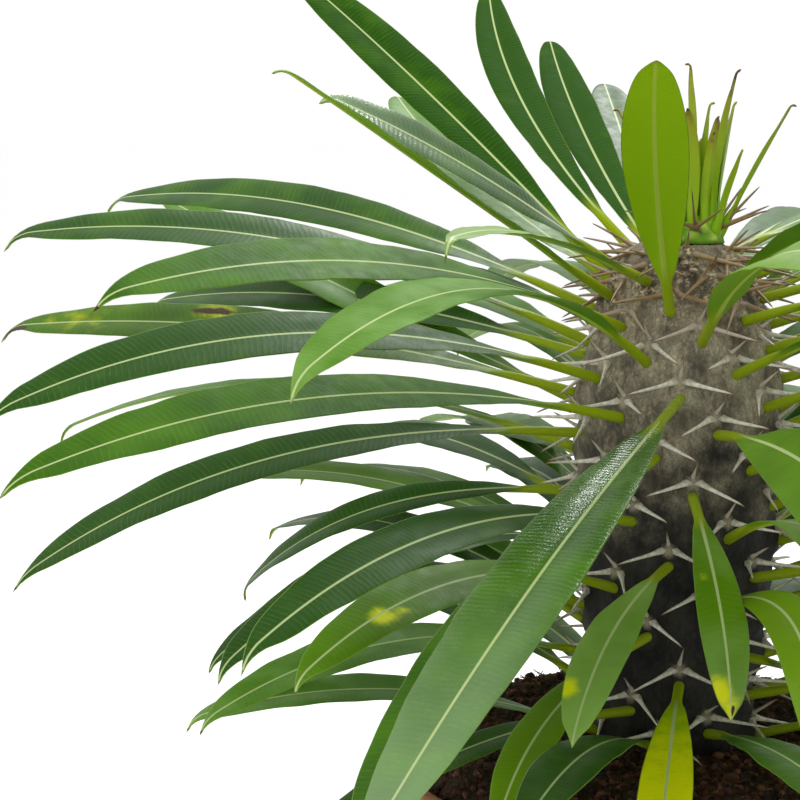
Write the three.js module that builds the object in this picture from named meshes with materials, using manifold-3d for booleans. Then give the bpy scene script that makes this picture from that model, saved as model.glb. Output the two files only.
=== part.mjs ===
// Madagascar palm (Pachypodium lamerei) growing in a plain round clay pot.
// Millimetres, +Z up, front towards -Y. The origin is the centre of the pot's flat foot.
// Pieces: pot, soil, trunk with its spines, crown of young leaves, and the strap leaves.

import * as THREE from 'three';
import { mergeVertices } from 'three/addons/utils/BufferGeometryUtils.js';
import Module from 'manifold-3d';

const wasm = await Module();
wasm.setup();

// ---- Driving dimensions ----------------------------------------------------------------

const GAP = 0.3; // clearance between pieces that touch
const TURN_STEPS = 40; // segments round the pot, soil and trunk

const POT = {
  height: 190, rimRadius: 132, rimHeight: 26, rimStep: 5, footRadius: 96, wall: 7, base: 9, edge: 2,
};
const SOIL_LEVEL = 200; // height of the soil at the trunk
const SOIL = {
  shoulderRadius: 112, shoulderDrop: 2, bevel: [6, 5], edgeDrop: 19, lump: 1.2, lumpShares: [0.35, 0.7],
};

// Trunk outline from the buried end to the flat top: [height above the soil, radius].
const TRUNK_OUTLINE = [
  [-60, 30], [-30, 34.5], [0, 36.5], [20, 36], [60, 41], [100, 44.2], [140, 45], [160, 44.3],
  [180, 39.5], [200, 34.5], [215, 27.5], [226, 20],
];
const TRUNK_ROW = 6; // height of one row of trunk faces
const TRUNK_TOP = TRUNK_OUTLINE.at(-1)[0];
const PAD = { rise: 3.2, reach: 8, below: 1.5 }; // raised leaf cushion

// Spiral of leaf cushions: each next one turns by the golden angle and stands a little higher.
const GOLDEN_ANGLE = 137.508;
const SPIRAL = {
  first: -68, last: 35, azimuth: 1, height: 162.3, step: 1.91, slowing: 0.0079, lowest: 3.2,
};
const BARE_PLACES = new Set([-57, -18, 34]); // leaves that have dropped

// Leaf: stalk share of the length, half sizes of stalk and rib, upward fold of the two halves.
const LEAF = {
  stalk: 0.12, stalkHalf: 2.3, ribHalf: 0.85, thinFrom: 0.3, fold: 0.1, droopPower: 1.3, width: 31,
  clearance: 0.7, widestPower: 1.25, fullPower: 0.62, rolledFrom: 0.35,
};
const LEAF_RINGS = [0, 0.1, 0.225, 0.4, 0.575, 0.75, 0.9];
const LEAF_STEPS = 40;
const ROOT_DEPTH = 4; // how deep a leaf that shares the trunk's node is rooted

// Usual habit of a leaf, and how far one leaf may differ from it.
const HABIT = {
  turn: -3, turnSpread: 6, bendSpread: 6, rise: 20, riseSpread: 4, droop: 40, droopSpread: 5,
  length: 272, lengthSpread: 8, rollSpread: 12, shorterBelow: -12, shortening: 1.5,
  narrowing: 0.07,
};

// Leaves that stand out from the usual habit, by place on the spiral:
// [turn, bend, rise, droop, length, roll, width], degrees and millimetres.
const OWN_HABIT = new Map([
  [35, [-12, -30, 28, -2, 285, 0, 24]],
  [32, [20, 10, 34, 15, 165, 42, 23]],
  [30, [7, -13, 25, 0, 275, 0, 25]],
  [29, [5, 15, 15, 18, 250, 10, 14]],
  [27, [-17, -4, 36, 8, 290, 15, 31]],
  [24, [24, 19, 26, 10, 264, 22, 16]],
  [22, [10, -25, 20, 0, 280, 0, 31]],
  [21, [-4, 14, 52, 15, 150, 0, 25]],
  [19, [-12, -10, 23, 33, 276, 25, 31]],
  [17, [8, 0, 28, 5, 255, 0, 30]],
  [16, [0, -5, 20, 33, 275, 25, 31]],
  [13, [-5, 5, 25, 35, 275, -25, 31]],
  [11, [-5, -5, 25, 35, 270, 25, 31]],
  [8, [-5, 0, 26, 52, 280, 8, 31]],
  [6, [-10, -5, 12, 24, 272, 25, 31]],
  [3, [-5, 0, 18, 43, 282, 25, 31]],
  [0, [-14, -12, -8, 27, 322, 0, 34]],
  [-2, [0, -5, 15, 22, 270, 25, 31]],
  [-5, [-15, -5, 14, 34, 292, 20, 32]],
  [-7, [5, -5, 20, 0, 275, 20, 31]],
  [-8, [-5, -5, 8, 30, 270, -40, 34]],
  [-10, [-5, 0, 5, 42, 265, 22, 27]],
  [-13, [-9, -6, -8, 30, 268, 0, 32]],
  [-20, [-25, -15, 0, 10, 255, 10, 30]],
  [-21, [8, 2, -36, 46, 103, 0, 19]],
  [-23, [-12, -15, 2, 52, 178, 20, 27]],
  [-26, [-10, 3, 14, 40, 250, 20, 25]],
  [-28, [-25, -10, 15, 40, 240, 10, 30]],
  [-29, [-10, 0, 24, 80, 240, 0, 30]],
  [-31, [12, 5, 12, 46, 212, 10, 26]],
  [-34, [-21, 14, -10, 30, 125, 0, 21]],
  [-36, [-15, 0, 22, 46, 228, 10, 27]],
  [-39, [0, 2, 20, 50, 205, 20, 24]],
  [-42, [23, -40, 29, 106, 140, -20, 20]],
  [-44, [0, 0, 22, 68, 185, 15, 26]],
  [-47, [-24, 34, -12, 16, 145, 0, 19]],
  [-49, [-15, -10, 25, 50, 210, 10, 28]],
  [-50, [4, 0, 6, 35, 205, 0, 27]],
  [-52, [-5, 0, 20, 50, 205, 10, 27]],
  [-55, [-7, 0, -5, 33, 165, 0, 20]],
  [-60, [-22, 0, 4, 40, 190, 0, 26]],
  [-63, [-6, 0, 16, 25, 190, 0, 27]],
  [-68, [-8, 0, 25, 45, 180, 0, 26]],
]);

// Spines stand in threes just above each leaf: two spread sideways and one short one upwards.
const SPINE = {
  root: 1.25, sink: 3, above: 6, long: 24, longSpread: 3, young: 4.5, short: 14, shortSpread: 2,
  spread: 52, dip: 8, lift: 42, jitter: 8, sides: 3, apart: 2.6,
  belowTop: 4, youngPlaces: [8, 26],
};

// Crown: a small green dome a little right of the axis, young leaves and young spines.
const CROWN = {
  radius: 12, height: 12, sides: 16, aside: 7, flank: [1, 0.85, 0.55], leafSink: 2,
  spineSets: 6, spineTurn: 40, spineLong: 25, spineAims: [[-35, 20], [35, 25], [0, 50]],
};

// Young leaves, outer ones first: [azimuth, distance from the dome's axis, rise, droop, length, width].
const YOUNG_LEAVES = [
  [84, 10, 64, 4, 66, 5], [-92, 9, 66, 8, 62, 5], [-80, 3, 97, -3, 54, 6], [150, 6, 80, 4, 50, 5],
  [-60, 4, 90, 3, 72, 5], [70, 6, 85, 9, 70, 5.5], [105, 7, 83, 4, 56, 6], [-20, 7, 82, 4, 54, 6],
  [30, 5, 82, 4, 42, 4.5], [-110, 5, 82, 2, 44, 5], [175, 4, 84, 2, 38, 4.5], [60, 9, 72, 2, 38, 4],
  [-60, 8, 78, 0, 34, 4], [120, 3, 84, 0, 32, 4],
];

const COLOURS = {
  clay: 0xb26a48, coir: 0x3b1d14, bark: 0x8a857c, leaf: 0x2f6b26, youngLeaf: 0x86ab2c,
};

// ---- Small helpers ---------------------------------------------------------------------

const rad = THREE.MathUtils.degToRad;
const lerp = THREE.MathUtils.lerp;

/** Repeatable draw between 0 and 1 for place n on the spiral and purpose k. */
function draw(n, k) {
  const x = Math.sin(n * 12.9898 + k * 78.233) * 43758.5453;
  return x - Math.floor(x);
}

/** Repeatable draw between -range and +range. */
const spread = (n, k, range) => (2 * draw(n, k) - 1) * range;

/** Radius of the smooth trunk at a height above the soil. */
function trunkRadius(height) {
  const last = TRUNK_OUTLINE.length - 1;
  const i = Math.min(last, Math.max(1, TRUNK_OUTLINE.findIndex(([z]) => z >= height)));
  const [z0, r0] = TRUNK_OUTLINE[i - 1];
  const [z1, r1] = TRUNK_OUTLINE[i];
  return lerp(r0, r1, THREE.MathUtils.clamp((height - z0) / (z1 - z0), 0, 1));
}

const spiralHeight = (n) => SPIRAL.height + SPIRAL.step * n - SPIRAL.slowing * n * n;
const placeHeight = (n) => Math.max(SPIRAL.lowest, spiralHeight(n));
const placeAzimuth = (n) => rad(SPIRAL.azimuth - GOLDEN_ANGLE * n);

/** Unit vector that points out of the trunk at an azimuth; 0 is the front. */
const outward = (azimuth) => new THREE.Vector3(Math.sin(azimuth), -Math.cos(azimuth), 0);

/** Unit vector at a heading and a pitch above the level. */
const aim = (heading, pitch) => outward(heading).multiplyScalar(Math.cos(pitch)).setZ(Math.sin(pitch));

/** Closed geometry with shared corners from a list of points and triangles. */
function solidGeometry(points, triangles) {
  const geometry = new THREE.BufferGeometry();
  const corners = points.flatMap((p) => p.toArray());
  geometry.setAttribute('position', new THREE.Float32BufferAttribute(corners, 3));
  geometry.setIndex(triangles.flat());
  return geometry;
}

/** The geometry as a solid that can be joined and cut. */
function toSolid(source) {
  const bare = source.clone();
  bare.deleteAttribute('normal');
  bare.deleteAttribute('uv');
  const merged = mergeVertices(bare, 1e-4);
  return new wasm.Manifold(new wasm.Mesh({
    numProp: 3,
    vertProperties: new Float32Array(merged.attributes.position.array),
    triVerts: new Uint32Array(merged.index.array),
  }));
}

/** The solid as a geometry again. */
function toGeometry(solid) {
  const mesh = solid.getMesh();
  const geometry = new THREE.BufferGeometry();
  geometry.setAttribute('position', new THREE.BufferAttribute(new Float32Array(mesh.vertProperties), 3));
  geometry.setIndex(new THREE.BufferAttribute(new Uint32Array(mesh.triVerts), 1));
  geometry.computeVertexNormals();
  return geometry;
}

/** Joins solids in pairs, which keeps each step small. */
function joinAll(solids) {
  let row = solids;
  while (row.length > 1) {
    const pairs = row.filter((_, i) => i % 2 === 0);
    row = pairs.map((solid, i) => (2 * i + 1 < row.length ? solid.add(row[2 * i + 1]) : solid));
  }
  return row[0];
}

/** Skin over rings of equal size, closed by a fan at the start and a point or fan at the end. */
function skin(rings, tip) {
  const sides = rings[0].length;
  const points = rings.flat();
  const triangles = [];
  for (let j = 1; j + 1 < sides; j += 1) triangles.push([0, j + 1, j]);
  for (let i = 0; i + 1 < rings.length; i += 1) {
    for (let j = 0; j < sides; j += 1) {
      const a = i * sides + j;
      const b = i * sides + ((j + 1) % sides);
      triangles.push([a, b, b + sides], [a, b + sides, a + sides]);
    }
  }
  const end = (rings.length - 1) * sides;
  if (tip) {
    points.push(tip);
    const peak = points.length - 1;
    for (let j = 0; j < sides; j += 1) triangles.push([end + j, end + ((j + 1) % sides), peak]);
  } else {
    for (let j = 1; j + 1 < sides; j += 1) triangles.push([end, end + j, end + j + 1]);
  }
  return solidGeometry(points, triangles);
}

// ---- Trunk surface ---------------------------------------------------------------------

const PLACES = [];
for (let n = SPIRAL.first; n <= SPIRAL.last; n += 1) PLACES.push(n);

/** Extra radius from the raised cushions under the leaves, at an azimuth and height. */
function cushionRise(azimuth, height) {
  let rise = 0;
  for (const n of PLACES) {
    const up = height - (placeHeight(n) - PAD.below);
    if (Math.abs(up) > 3 * PAD.reach) continue;
    const apart = azimuth - placeAzimuth(n);
    const turn = Math.atan2(Math.sin(apart), Math.cos(apart));
    const along = turn * trunkRadius(height);
    rise = Math.max(rise, PAD.rise * Math.exp(-(along * along + up * up) / (PAD.reach * PAD.reach)));
  }
  return rise;
}

const surfaceRadius = (azimuth, height) => trunkRadius(height) + cushionRise(azimuth, height);

/** Point at a radius, azimuth and height above the soil, in the pot's frame. */
function at(radius, azimuth, height) {
  return outward(azimuth).multiplyScalar(radius).setZ(SOIL_LEVEL + height);
}

/** Heights of the rows of trunk corners. */
const TRUNK_ROWS = [TRUNK_OUTLINE[0][0], TRUNK_OUTLINE[0][0] / 2];
for (let z = 0; z < TRUNK_TOP - TRUNK_ROW / 2; z += TRUNK_ROW) TRUNK_ROWS.push(z);
TRUNK_ROWS.push(TRUNK_TOP);

/** Radii of the trunk's corners, row by row; cushions end at the soil and at the flat top. */
const TRUNK_GRID = TRUNK_ROWS.map((z) => Array.from({ length: TURN_STEPS }, (_, j) => (
  z > 0 && z < TRUNK_TOP ? surfaceRadius((2 * Math.PI * j) / TURN_STEPS, z) : trunkRadius(z)
)));

/** Radius of the faceted trunk, between its corners, at an azimuth and height. */
function facetRadius(azimuth, height) {
  const i = Math.max(1, TRUNK_ROWS.findIndex((z) => z >= height));
  const up = (height - TRUNK_ROWS[i - 1]) / (TRUNK_ROWS[i] - TRUNK_ROWS[i - 1]);
  const column = THREE.MathUtils.euclideanModulo((azimuth * TURN_STEPS) / (2 * Math.PI), TURN_STEPS);
  const j = Math.floor(column);
  const across = (row) => lerp(row[j], row[(j + 1) % TURN_STEPS], column - j);
  return lerp(across(TRUNK_GRID[i - 1]), across(TRUNK_GRID[i]), up);
}

const trunkCore = () => skin(TRUNK_ROWS.map((z, i) => (
  TRUNK_GRID[i].map((radius, j) => at(radius, (2 * Math.PI * j) / TURN_STEPS, z))
)));

// ---- Leaves ----------------------------------------------------------------------------

/** The habit of the leaf at place n: its own, or the usual one with seeded draws. */
function leafHabit(n) {
  if (OWN_HABIT.has(n)) {
    const [turn, bend, rise, droop, length, roll, width] = OWN_HABIT.get(n);
    return { turn, bend, rise, droop, length, roll, width };
  }
  const lower = Math.max(0, HABIT.shorterBelow - n);
  return {
    turn: HABIT.turn + spread(n, 1, HABIT.turnSpread),
    bend: spread(n, 2, HABIT.bendSpread),
    rise: HABIT.rise + spread(n, 3, HABIT.riseSpread),
    droop: HABIT.droop + spread(n, 4, HABIT.droopSpread),
    length: HABIT.length - HABIT.shortening * lower + spread(n, 5, HABIT.lengthSpread),
    roll: spread(n, 6, HABIT.rollSpread),
    width: LEAF.width - HABIT.narrowing * lower,
  };
}

/** Half width of a leaf at a share t of its length: a stalk, then a blade widest past its middle. */
function halfWidth(t, width) {
  if (t <= LEAF.stalk) return LEAF.stalkHalf;
  const u = (t - LEAF.stalk) / (1 - LEAF.stalk);
  const fullness = Math.sin(Math.PI * u ** LEAF.widestPower) ** LEAF.fullPower;
  return LEAF.stalkHalf * (1 - u) + (width / 2) * fullness;
}

/** Half thickness at the midrib, from the round stalk to the thin blade. */
const halfThickness = (t) => (
  lerp(LEAF.stalkHalf, LEAF.ribHalf, THREE.MathUtils.smoothstep(t, 0, LEAF.thinFrom))
);

/** Follows a leaf's midrib and returns its rings and its tip. */
function leafRings(start, azimuth, habit, ringShares) {
  const step = habit.length / LEAF_STEPS;
  const point = start.clone();
  const rings = [];
  for (let i = 0; i <= LEAF_STEPS; i += 1) {
    const t = i / LEAF_STEPS;
    const heading = azimuth + rad(habit.turn + habit.bend * t);
    const pitch = rad(habit.rise - habit.droop * t ** LEAF.droopPower);
    const ahead = aim(heading, pitch);
    const level = outward(heading + Math.PI / 2);
    const up = new THREE.Vector3().crossVectors(level, ahead).negate();
    const roll = rad(habit.roll) * THREE.MathUtils.smoothstep(t, 0, LEAF.rolledFrom);
    const side = level.clone().multiplyScalar(Math.cos(roll)).addScaledVector(up, -Math.sin(roll));
    const normal = up.clone().multiplyScalar(Math.cos(roll)).addScaledVector(level, Math.sin(roll));
    if (ringShares.some((share) => Math.round(share * LEAF_STEPS) === i)) {
      const half = halfWidth(t, habit.width);
      const thick = halfThickness(t);
      const lift = LEAF.fold * Math.max(0, half - LEAF.stalkHalf);
      rings.push([
        point.clone().addScaledVector(side, half).addScaledVector(normal, lift),
        point.clone().addScaledVector(normal, thick),
        point.clone().addScaledVector(side, -half).addScaledVector(normal, lift),
        point.clone().addScaledVector(normal, -thick),
      ]);
    }
    if (i < LEAF_STEPS) point.addScaledVector(ahead, step);
  }
  return { rings, tip: point };
}

/** One leaf; its foot follows the trunk's surface at the given clearance, or is sunk below it. */
function leafGeometry(n, clearance) {
  const azimuth = placeAzimuth(n);
  const height = placeHeight(n);
  const start = at(surfaceRadius(azimuth, height), azimuth, height);
  const { rings, tip } = leafRings(start, azimuth, leafHabit(n), LEAF_RINGS);
  rings[0] = rings[0].map((p) => {
    const around = Math.atan2(p.x, -p.y);
    return at(facetRadius(around, p.z - SOIL_LEVEL) + clearance, around, p.z - SOIL_LEVEL);
  });
  return skin(rings, tip);
}

/** Leaves that face backwards below the crown share the trunk's node; the others are their own. */
const sharesTrunk = (n) => n < 30 && Math.cos(placeAzimuth(n)) < 0;

// ---- Spines ----------------------------------------------------------------------------

/** One spine: a slim pyramid from below the surface to a sharp point. */
function spineGeometry(root, direction, length, radius) {
  const level = new THREE.Vector3(-direction.y, direction.x, 0).normalize();
  const up = new THREE.Vector3().crossVectors(direction, level);
  const foot = root.clone().addScaledVector(direction, -SPINE.sink);
  const ring = Array.from({ length: SPINE.sides }, (_, j) => {
    const a = (2 * Math.PI * j) / SPINE.sides + Math.PI / 2;
    const across = level.clone().multiplyScalar(radius * Math.cos(a));
    return foot.clone().add(across).addScaledVector(up, radius * Math.sin(a));
  });
  return skin([ring], root.clone().addScaledVector(direction, length));
}

/** The three spines above the leaf at place n. */
function spineSet(n) {
  const azimuth = placeAzimuth(n);
  const height = Math.min(placeHeight(n) + SPINE.above, TRUNK_TOP - SPINE.belowTop);
  const long = SPINE.long + SPINE.young * THREE.MathUtils.smoothstep(n, ...SPINE.youngPlaces);
  const aims = [
    [-SPINE.spread, -SPINE.dip, long + spread(n, 11, SPINE.longSpread)],
    [SPINE.spread, -SPINE.dip, long + spread(n, 12, SPINE.longSpread)],
    [0, SPINE.lift, SPINE.short + spread(n, 13, SPINE.shortSpread)],
  ];
  return aims.map(([aside, lift, length], i) => {
    const heading = azimuth + rad(aside + spread(n, 14 + i, SPINE.jitter));
    const pitch = rad(lift + spread(n, 17 + i, SPINE.jitter));
    const rootAzimuth = azimuth + (Math.sign(aside) * SPINE.apart) / trunkRadius(height);
    const rootHeight = height + (aside ? 0 : SPINE.apart);
    const root = at(surfaceRadius(rootAzimuth, rootHeight), rootAzimuth, rootHeight);
    return spineGeometry(root, aim(heading, pitch), length, SPINE.root);
  });
}

// ---- Pot, soil and crown ---------------------------------------------------------------

/** Outer radius of the pot's tapered wall at a height. */
const UNDER_RIM = POT.height - POT.rimHeight;
const potRadius = (z) => lerp(POT.footRadius, POT.rimRadius - POT.rimStep, z / UNDER_RIM);

/** Inner radius of the pot at a height. */
const potInside = (z) => Math.min(potRadius(z), POT.rimRadius) - POT.wall;

/** A solid turned round Z from [radius, height] corners, bottom first, that start and end on the axis. */
function turned(corners, steps = TURN_STEPS) {
  const outline = corners.map(([r, z]) => new THREE.Vector2(r, z));
  return toSolid(new THREE.LatheGeometry(outline, steps).rotateX(Math.PI / 2));
}

function potSolid() {
  return turned([
    [0, 0], [POT.footRadius - POT.edge, 0], [POT.footRadius, POT.edge], [potRadius(UNDER_RIM), UNDER_RIM],
    [POT.rimRadius, UNDER_RIM + POT.edge], [POT.rimRadius, POT.height - POT.edge],
    [POT.rimRadius - POT.edge, POT.height],
    [potInside(POT.height), POT.height], [potInside(POT.base), POT.base], [0, POT.base],
  ]);
}

function soilSolid() {
  const hole = TRUNK_OUTLINE.filter(([z]) => z <= 0);
  const edge = SOIL_LEVEL - SOIL.edgeDrop;
  const shoulder = SOIL_LEVEL - SOIL.shoulderDrop;
  const bottom = POT.base + GAP;
  const [hollow, swell] = SOIL.lumpShares.map((share) => lerp(hole.at(-1)[1], SOIL.shoulderRadius, share));
  return turned([
    [0, bottom], [potInside(bottom) - GAP, bottom], [potInside(edge) - GAP, edge],
    [SOIL.shoulderRadius + SOIL.bevel[0], shoulder - SOIL.bevel[1]], [SOIL.shoulderRadius, shoulder],
    [swell, SOIL_LEVEL + SOIL.lump], [hollow, SOIL_LEVEL - SOIL.lump],
    ...hole.toReversed().map(([z, r]) => [r + GAP, SOIL_LEVEL + z - (z === hole[0][0] ? GAP : 0)]),
    [0, SOIL_LEVEL + hole[0][0] - GAP],
  ]);
}

/** Shares of a young leaf's length that get a ring. */
const YOUNG_RINGS = [0, 0.125, 0.4, 0.65, 0.85];

/** Height of the dome's surface above its foot at a distance from its axis. */
const domeHeight = (distance) => CROWN.height * Math.sqrt(1 - (distance / CROWN.radius) ** 2);

/** One young leaf of the crown, thin and nearly upright, from just inside the dome. */
function youngLeaf([turn, distance, rise, droop, length, width]) {
  const start = at(distance, rad(turn), TRUNK_TOP + GAP + domeHeight(distance) - CROWN.leafSink);
  const habit = { turn: 0, bend: 0, rise, droop, length, roll: 0, width };
  const { rings, tip } = leafRings(start, rad(turn), habit, YOUNG_RINGS);
  return toSolid(skin(rings, tip));
}

/** The three young spines of set i on the dome's flank. */
function crownSpines(i) {
  const azimuth = placeAzimuth(SPIRAL.last + 1 + i) + rad(CROWN.spineTurn);
  const distance = CROWN.radius * CROWN.flank[1];
  const root = at(distance, azimuth, TRUNK_TOP + GAP + domeHeight(distance));
  return CROWN.spineAims.map(([aside, lift]) => (
    toSolid(spineGeometry(root, aim(azimuth + rad(aside), rad(lift)), CROWN.spineLong, SPINE.root))
  ));
}

function crownSolid() {
  const foot = SOIL_LEVEL + TRUNK_TOP + GAP;
  const flank = CROWN.flank.map((share) => share * CROWN.radius);
  const dome = turned([
    [0, foot], ...flank.map((radius) => [radius, foot + domeHeight(radius)]), [0, foot + CROWN.height],
  ], CROWN.sides);
  const sets = Array.from({ length: CROWN.spineSets }, (_, i) => crownSpines(i)).flat();
  return joinAll([dome, ...YOUNG_LEAVES.map(youngLeaf), ...sets]).translate([CROWN.aside, 0, 0]);
}

// ---- Assembly --------------------------------------------------------------------------

const group = new THREE.Group();

function addPiece(name, geometry, color, roughness) {
  const mesh = new THREE.Mesh(geometry, new THREE.MeshStandardMaterial({ color, roughness, metalness: 0 }));
  mesh.name = name;
  group.add(mesh);
}

const leafPlaces = PLACES.filter((n) => !BARE_PLACES.has(n));
const ownLeaves = leafPlaces.filter((n) => !sharesTrunk(n));
const trunkLeaves = leafPlaces.filter(sharesTrunk);
const spines = PLACES.flatMap(spineSet);

addPiece('pot', toGeometry(potSolid()), COLOURS.clay, 0.85);
addPiece('soil', toGeometry(soilSolid()), COLOURS.coir, 1);
addPiece('trunk', toGeometry(joinAll([
  toSolid(trunkCore()),
  ...spines.map(toSolid),
  ...trunkLeaves.map((n) => toSolid(leafGeometry(n, -ROOT_DEPTH))),
])), COLOURS.bark, 0.9);
addPiece('crown', toGeometry(crownSolid()), COLOURS.youngLeaf, 0.5);
for (const n of ownLeaves) {
  const name = `leaf_${String(n - SPIRAL.first + 1).padStart(3, '0')}`;
  addPiece(name, toGeometry(toSolid(leafGeometry(n, LEAF.clearance))), COLOURS.leaf, 0.35);
}

export default group;
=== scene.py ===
"""Madagascar palm (Pachypodium lamerei) in a clay pot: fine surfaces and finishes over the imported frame.

Lengths are metres unless a name or comment says millimetres. +Z is up, the front faces -Y, and the origin
is the centre of the pot's flat foot. Heights on the trunk are millimetres above the soil line.
"""

import logging
import math
from dataclasses import dataclass, field
from enum import Enum
from typing import Any, Sequence

import bmesh
import bpy
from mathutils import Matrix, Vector, noise


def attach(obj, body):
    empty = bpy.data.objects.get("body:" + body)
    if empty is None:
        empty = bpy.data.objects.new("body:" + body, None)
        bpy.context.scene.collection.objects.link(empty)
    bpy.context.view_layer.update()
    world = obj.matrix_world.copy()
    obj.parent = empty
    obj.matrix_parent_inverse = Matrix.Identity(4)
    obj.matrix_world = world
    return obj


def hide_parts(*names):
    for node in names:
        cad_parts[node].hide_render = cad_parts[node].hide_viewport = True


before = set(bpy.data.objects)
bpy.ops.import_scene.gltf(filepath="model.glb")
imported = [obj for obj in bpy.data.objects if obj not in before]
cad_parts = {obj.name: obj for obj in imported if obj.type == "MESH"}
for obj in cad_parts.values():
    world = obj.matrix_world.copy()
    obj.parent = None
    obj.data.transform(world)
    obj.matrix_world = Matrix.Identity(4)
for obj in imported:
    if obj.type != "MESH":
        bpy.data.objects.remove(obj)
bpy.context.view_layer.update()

BODY = "root"
MM = 0.001
SOIL_LEVEL = 200.0  # height of the soil at the trunk, mm
log = logging.getLogger("palm")


# ---- Small helpers ---------------------------------------------------------------------


class Slot(Enum):
    """Material slots of the part's record."""

    POT = "pot"
    SOIL = "soil"
    TRUNK = "trunk"
    CROWN = "crown"
    LEAF = "leaf"


def lerp(a: float, b: float, share: float) -> float:
    """Value a given share of the way from a to b."""
    return a + (b - a) * share


def smoothstep(x: float, low: float, high: float) -> float:
    """Smooth step from 0 below low to 1 above high."""
    u = min(1.0, max(0.0, (x - low) / (high - low)))
    return u * u * (3 - 2 * u)


def draw(n: int, k: int) -> float:
    """Repeatable draw between 0 and 1 for place n on the spiral and purpose k."""
    x = math.sin(n * 12.9898 + k * 78.233) * 43758.5453
    return x - math.floor(x)


def spread(n: int, k: int, reach: float) -> float:
    """Repeatable draw between -reach and +reach."""
    return (2 * draw(n, k) - 1) * reach


def outward(azimuth: float) -> Vector:
    """Unit vector that points out of the trunk at an azimuth; 0 is the front."""
    return Vector((math.sin(azimuth), -math.cos(azimuth), 0.0))


def aim(heading: float, pitch: float) -> Vector:
    """Unit vector at a heading and a pitch above the level."""
    flat = outward(heading) * math.cos(pitch)
    return Vector((flat.x, flat.y, math.sin(pitch)))


def at(radius: float, azimuth: float, height: float) -> Vector:
    """Point in metres at a radius, azimuth and height above the soil, all lengths in mm."""
    flat = outward(azimuth) * radius
    return Vector((flat.x, flat.y, SOIL_LEVEL + height)) * MM


def linear(colour: str) -> tuple[float, float, float, float]:
    """Turns an sRGB hex colour to linear RGBA.

    Args:
        colour: Such as '#3e6a11'.

    Returns:
        Red, green, blue and a full alpha.
    """
    parts = [int(colour[i:i + 2], 16) / 255 for i in (1, 3, 5)]
    red, green, blue = [p / 12.92 if p <= 0.04045 else ((p + 0.055) / 1.055) ** 2.4 for p in parts]
    return red, green, blue, 1.0


class Kind:
    """A type of node with the settings that it is used with."""

    def __init__(self, node: str, **settings: str) -> None:
        """Keeps Blender's identifier of the type and its settings."""
        self.node = node
        self.settings = settings


TIMES = Kind("ShaderNodeMath", operation="MULTIPLY")
TIMES_PLUS = Kind("ShaderNodeMath", operation="MULTIPLY_ADD")
PLUS = Kind("ShaderNodeMath", operation="ADD")
MINUS = Kind("ShaderNodeMath", operation="SUBTRACT")
DIVIDED = Kind("ShaderNodeMath", operation="DIVIDE")
POWER = Kind("ShaderNodeMath", operation="POWER")
SIZE = Kind("ShaderNodeMath", operation="ABSOLUTE")
LARGER = Kind("ShaderNodeMath", operation="MAXIMUM")
MATH = Kind("ShaderNodeMath")
STRETCHED = Kind("ShaderNodeVectorMath", operation="MULTIPLY")
MOVED = Kind("ShaderNodeVectorMath", operation="ADD")
MOVED_BACK = Kind("ShaderNodeVectorMath", operation="SUBTRACT")
SCALED = Kind("ShaderNodeVectorMath", operation="SCALE")
BLEND = Kind("ShaderNodeMix", data_type="RGBA")
BETWEEN = Kind("ShaderNodeMix", data_type="FLOAT")
RANGE = Kind("ShaderNodeMapRange")  # its output runs from 0 to 1 where no other limits are given
EASED = Kind("ShaderNodeMapRange", interpolation_type="SMOOTHSTEP")
NOISE = Kind("ShaderNodeTexNoise")
CELLS = Kind("ShaderNodeTexVoronoi", feature="DISTANCE_TO_EDGE")
BUMP = Kind("ShaderNodeBump")
SHADER = Kind("ShaderNodeBsdfPrincipled")
PLACE = Kind("ShaderNodeTexCoord")
ATTRIBUTE = Kind("ShaderNodeAttribute")
SPLIT = Kind("ShaderNodeSeparateXYZ")
COMBINE = Kind("ShaderNodeCombineXYZ")
STORE = Kind("GeometryNodeStoreNamedAttribute")
NUMBER = Kind("GeometryNodeInputNamedAttribute", data_type="FLOAT")
TRIPLE = Kind("GeometryNodeInputNamedAttribute", data_type="FLOAT_VECTOR")


class Wiring:
    """Adds nodes to one node tree."""

    def __init__(self, tree: bpy.types.NodeTree) -> None:
        """Keeps the tree that gets the nodes."""
        self.tree = tree

    def add(self, kind: Kind | str, *values: Any, into: dict[str, Any] | None = None,
            **settings: Any) -> bpy.types.Node:
        """Adds a node, sets it up and wires its inputs.

        Args:
            kind: The node type, or Blender's identifier of a type that needs no settings.
            values: Inputs in their order; None leaves an input as it is. A node or socket is linked.
            into: Further inputs by name.
            settings: Properties of the node.

        Returns:
            The node.
        """
        if isinstance(kind, Kind):
            kind, settings = kind.node, kind.settings | settings
        node = self.tree.nodes.new(kind)
        for key, value in settings.items():
            setattr(node, key, value)
        open_inputs = [s for s in node.inputs if s.enabled]
        pairs = list(zip(open_inputs, values))
        for name, value in (into or {}).items():
            pairs.append((next(s for s in open_inputs if s.name == name), value))
        for socket, value in pairs:
            if isinstance(value, bpy.types.Node):
                value = next(s for s in value.outputs if s.enabled)
            if isinstance(value, bpy.types.NodeSocket):
                self.tree.links.new(value, socket)
            elif value is not None:
                socket.default_value = value
        return node


def close_tree(w: Wiring, shapes: bpy.types.Node, material: bpy.types.NodeSocket) -> bpy.types.NodeTree:
    """Ends a Geometry Nodes tree: instances become real, the mesh is smooth and gets its material.

    Args:
        w: Wiring of the tree.
        shapes: Node that gives the geometry.
        material: Socket that gives the material.

    Returns:
        The tree.
    """
    mesh = w.add("GeometryNodeRealizeInstances", shapes)
    mesh = w.add("GeometryNodeSetShadeSmooth", mesh)
    mesh = w.add("GeometryNodeSetMaterial", into={"Geometry": mesh, "Material": material})
    w.add("NodeGroupOutput", mesh)
    return w.tree


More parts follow.
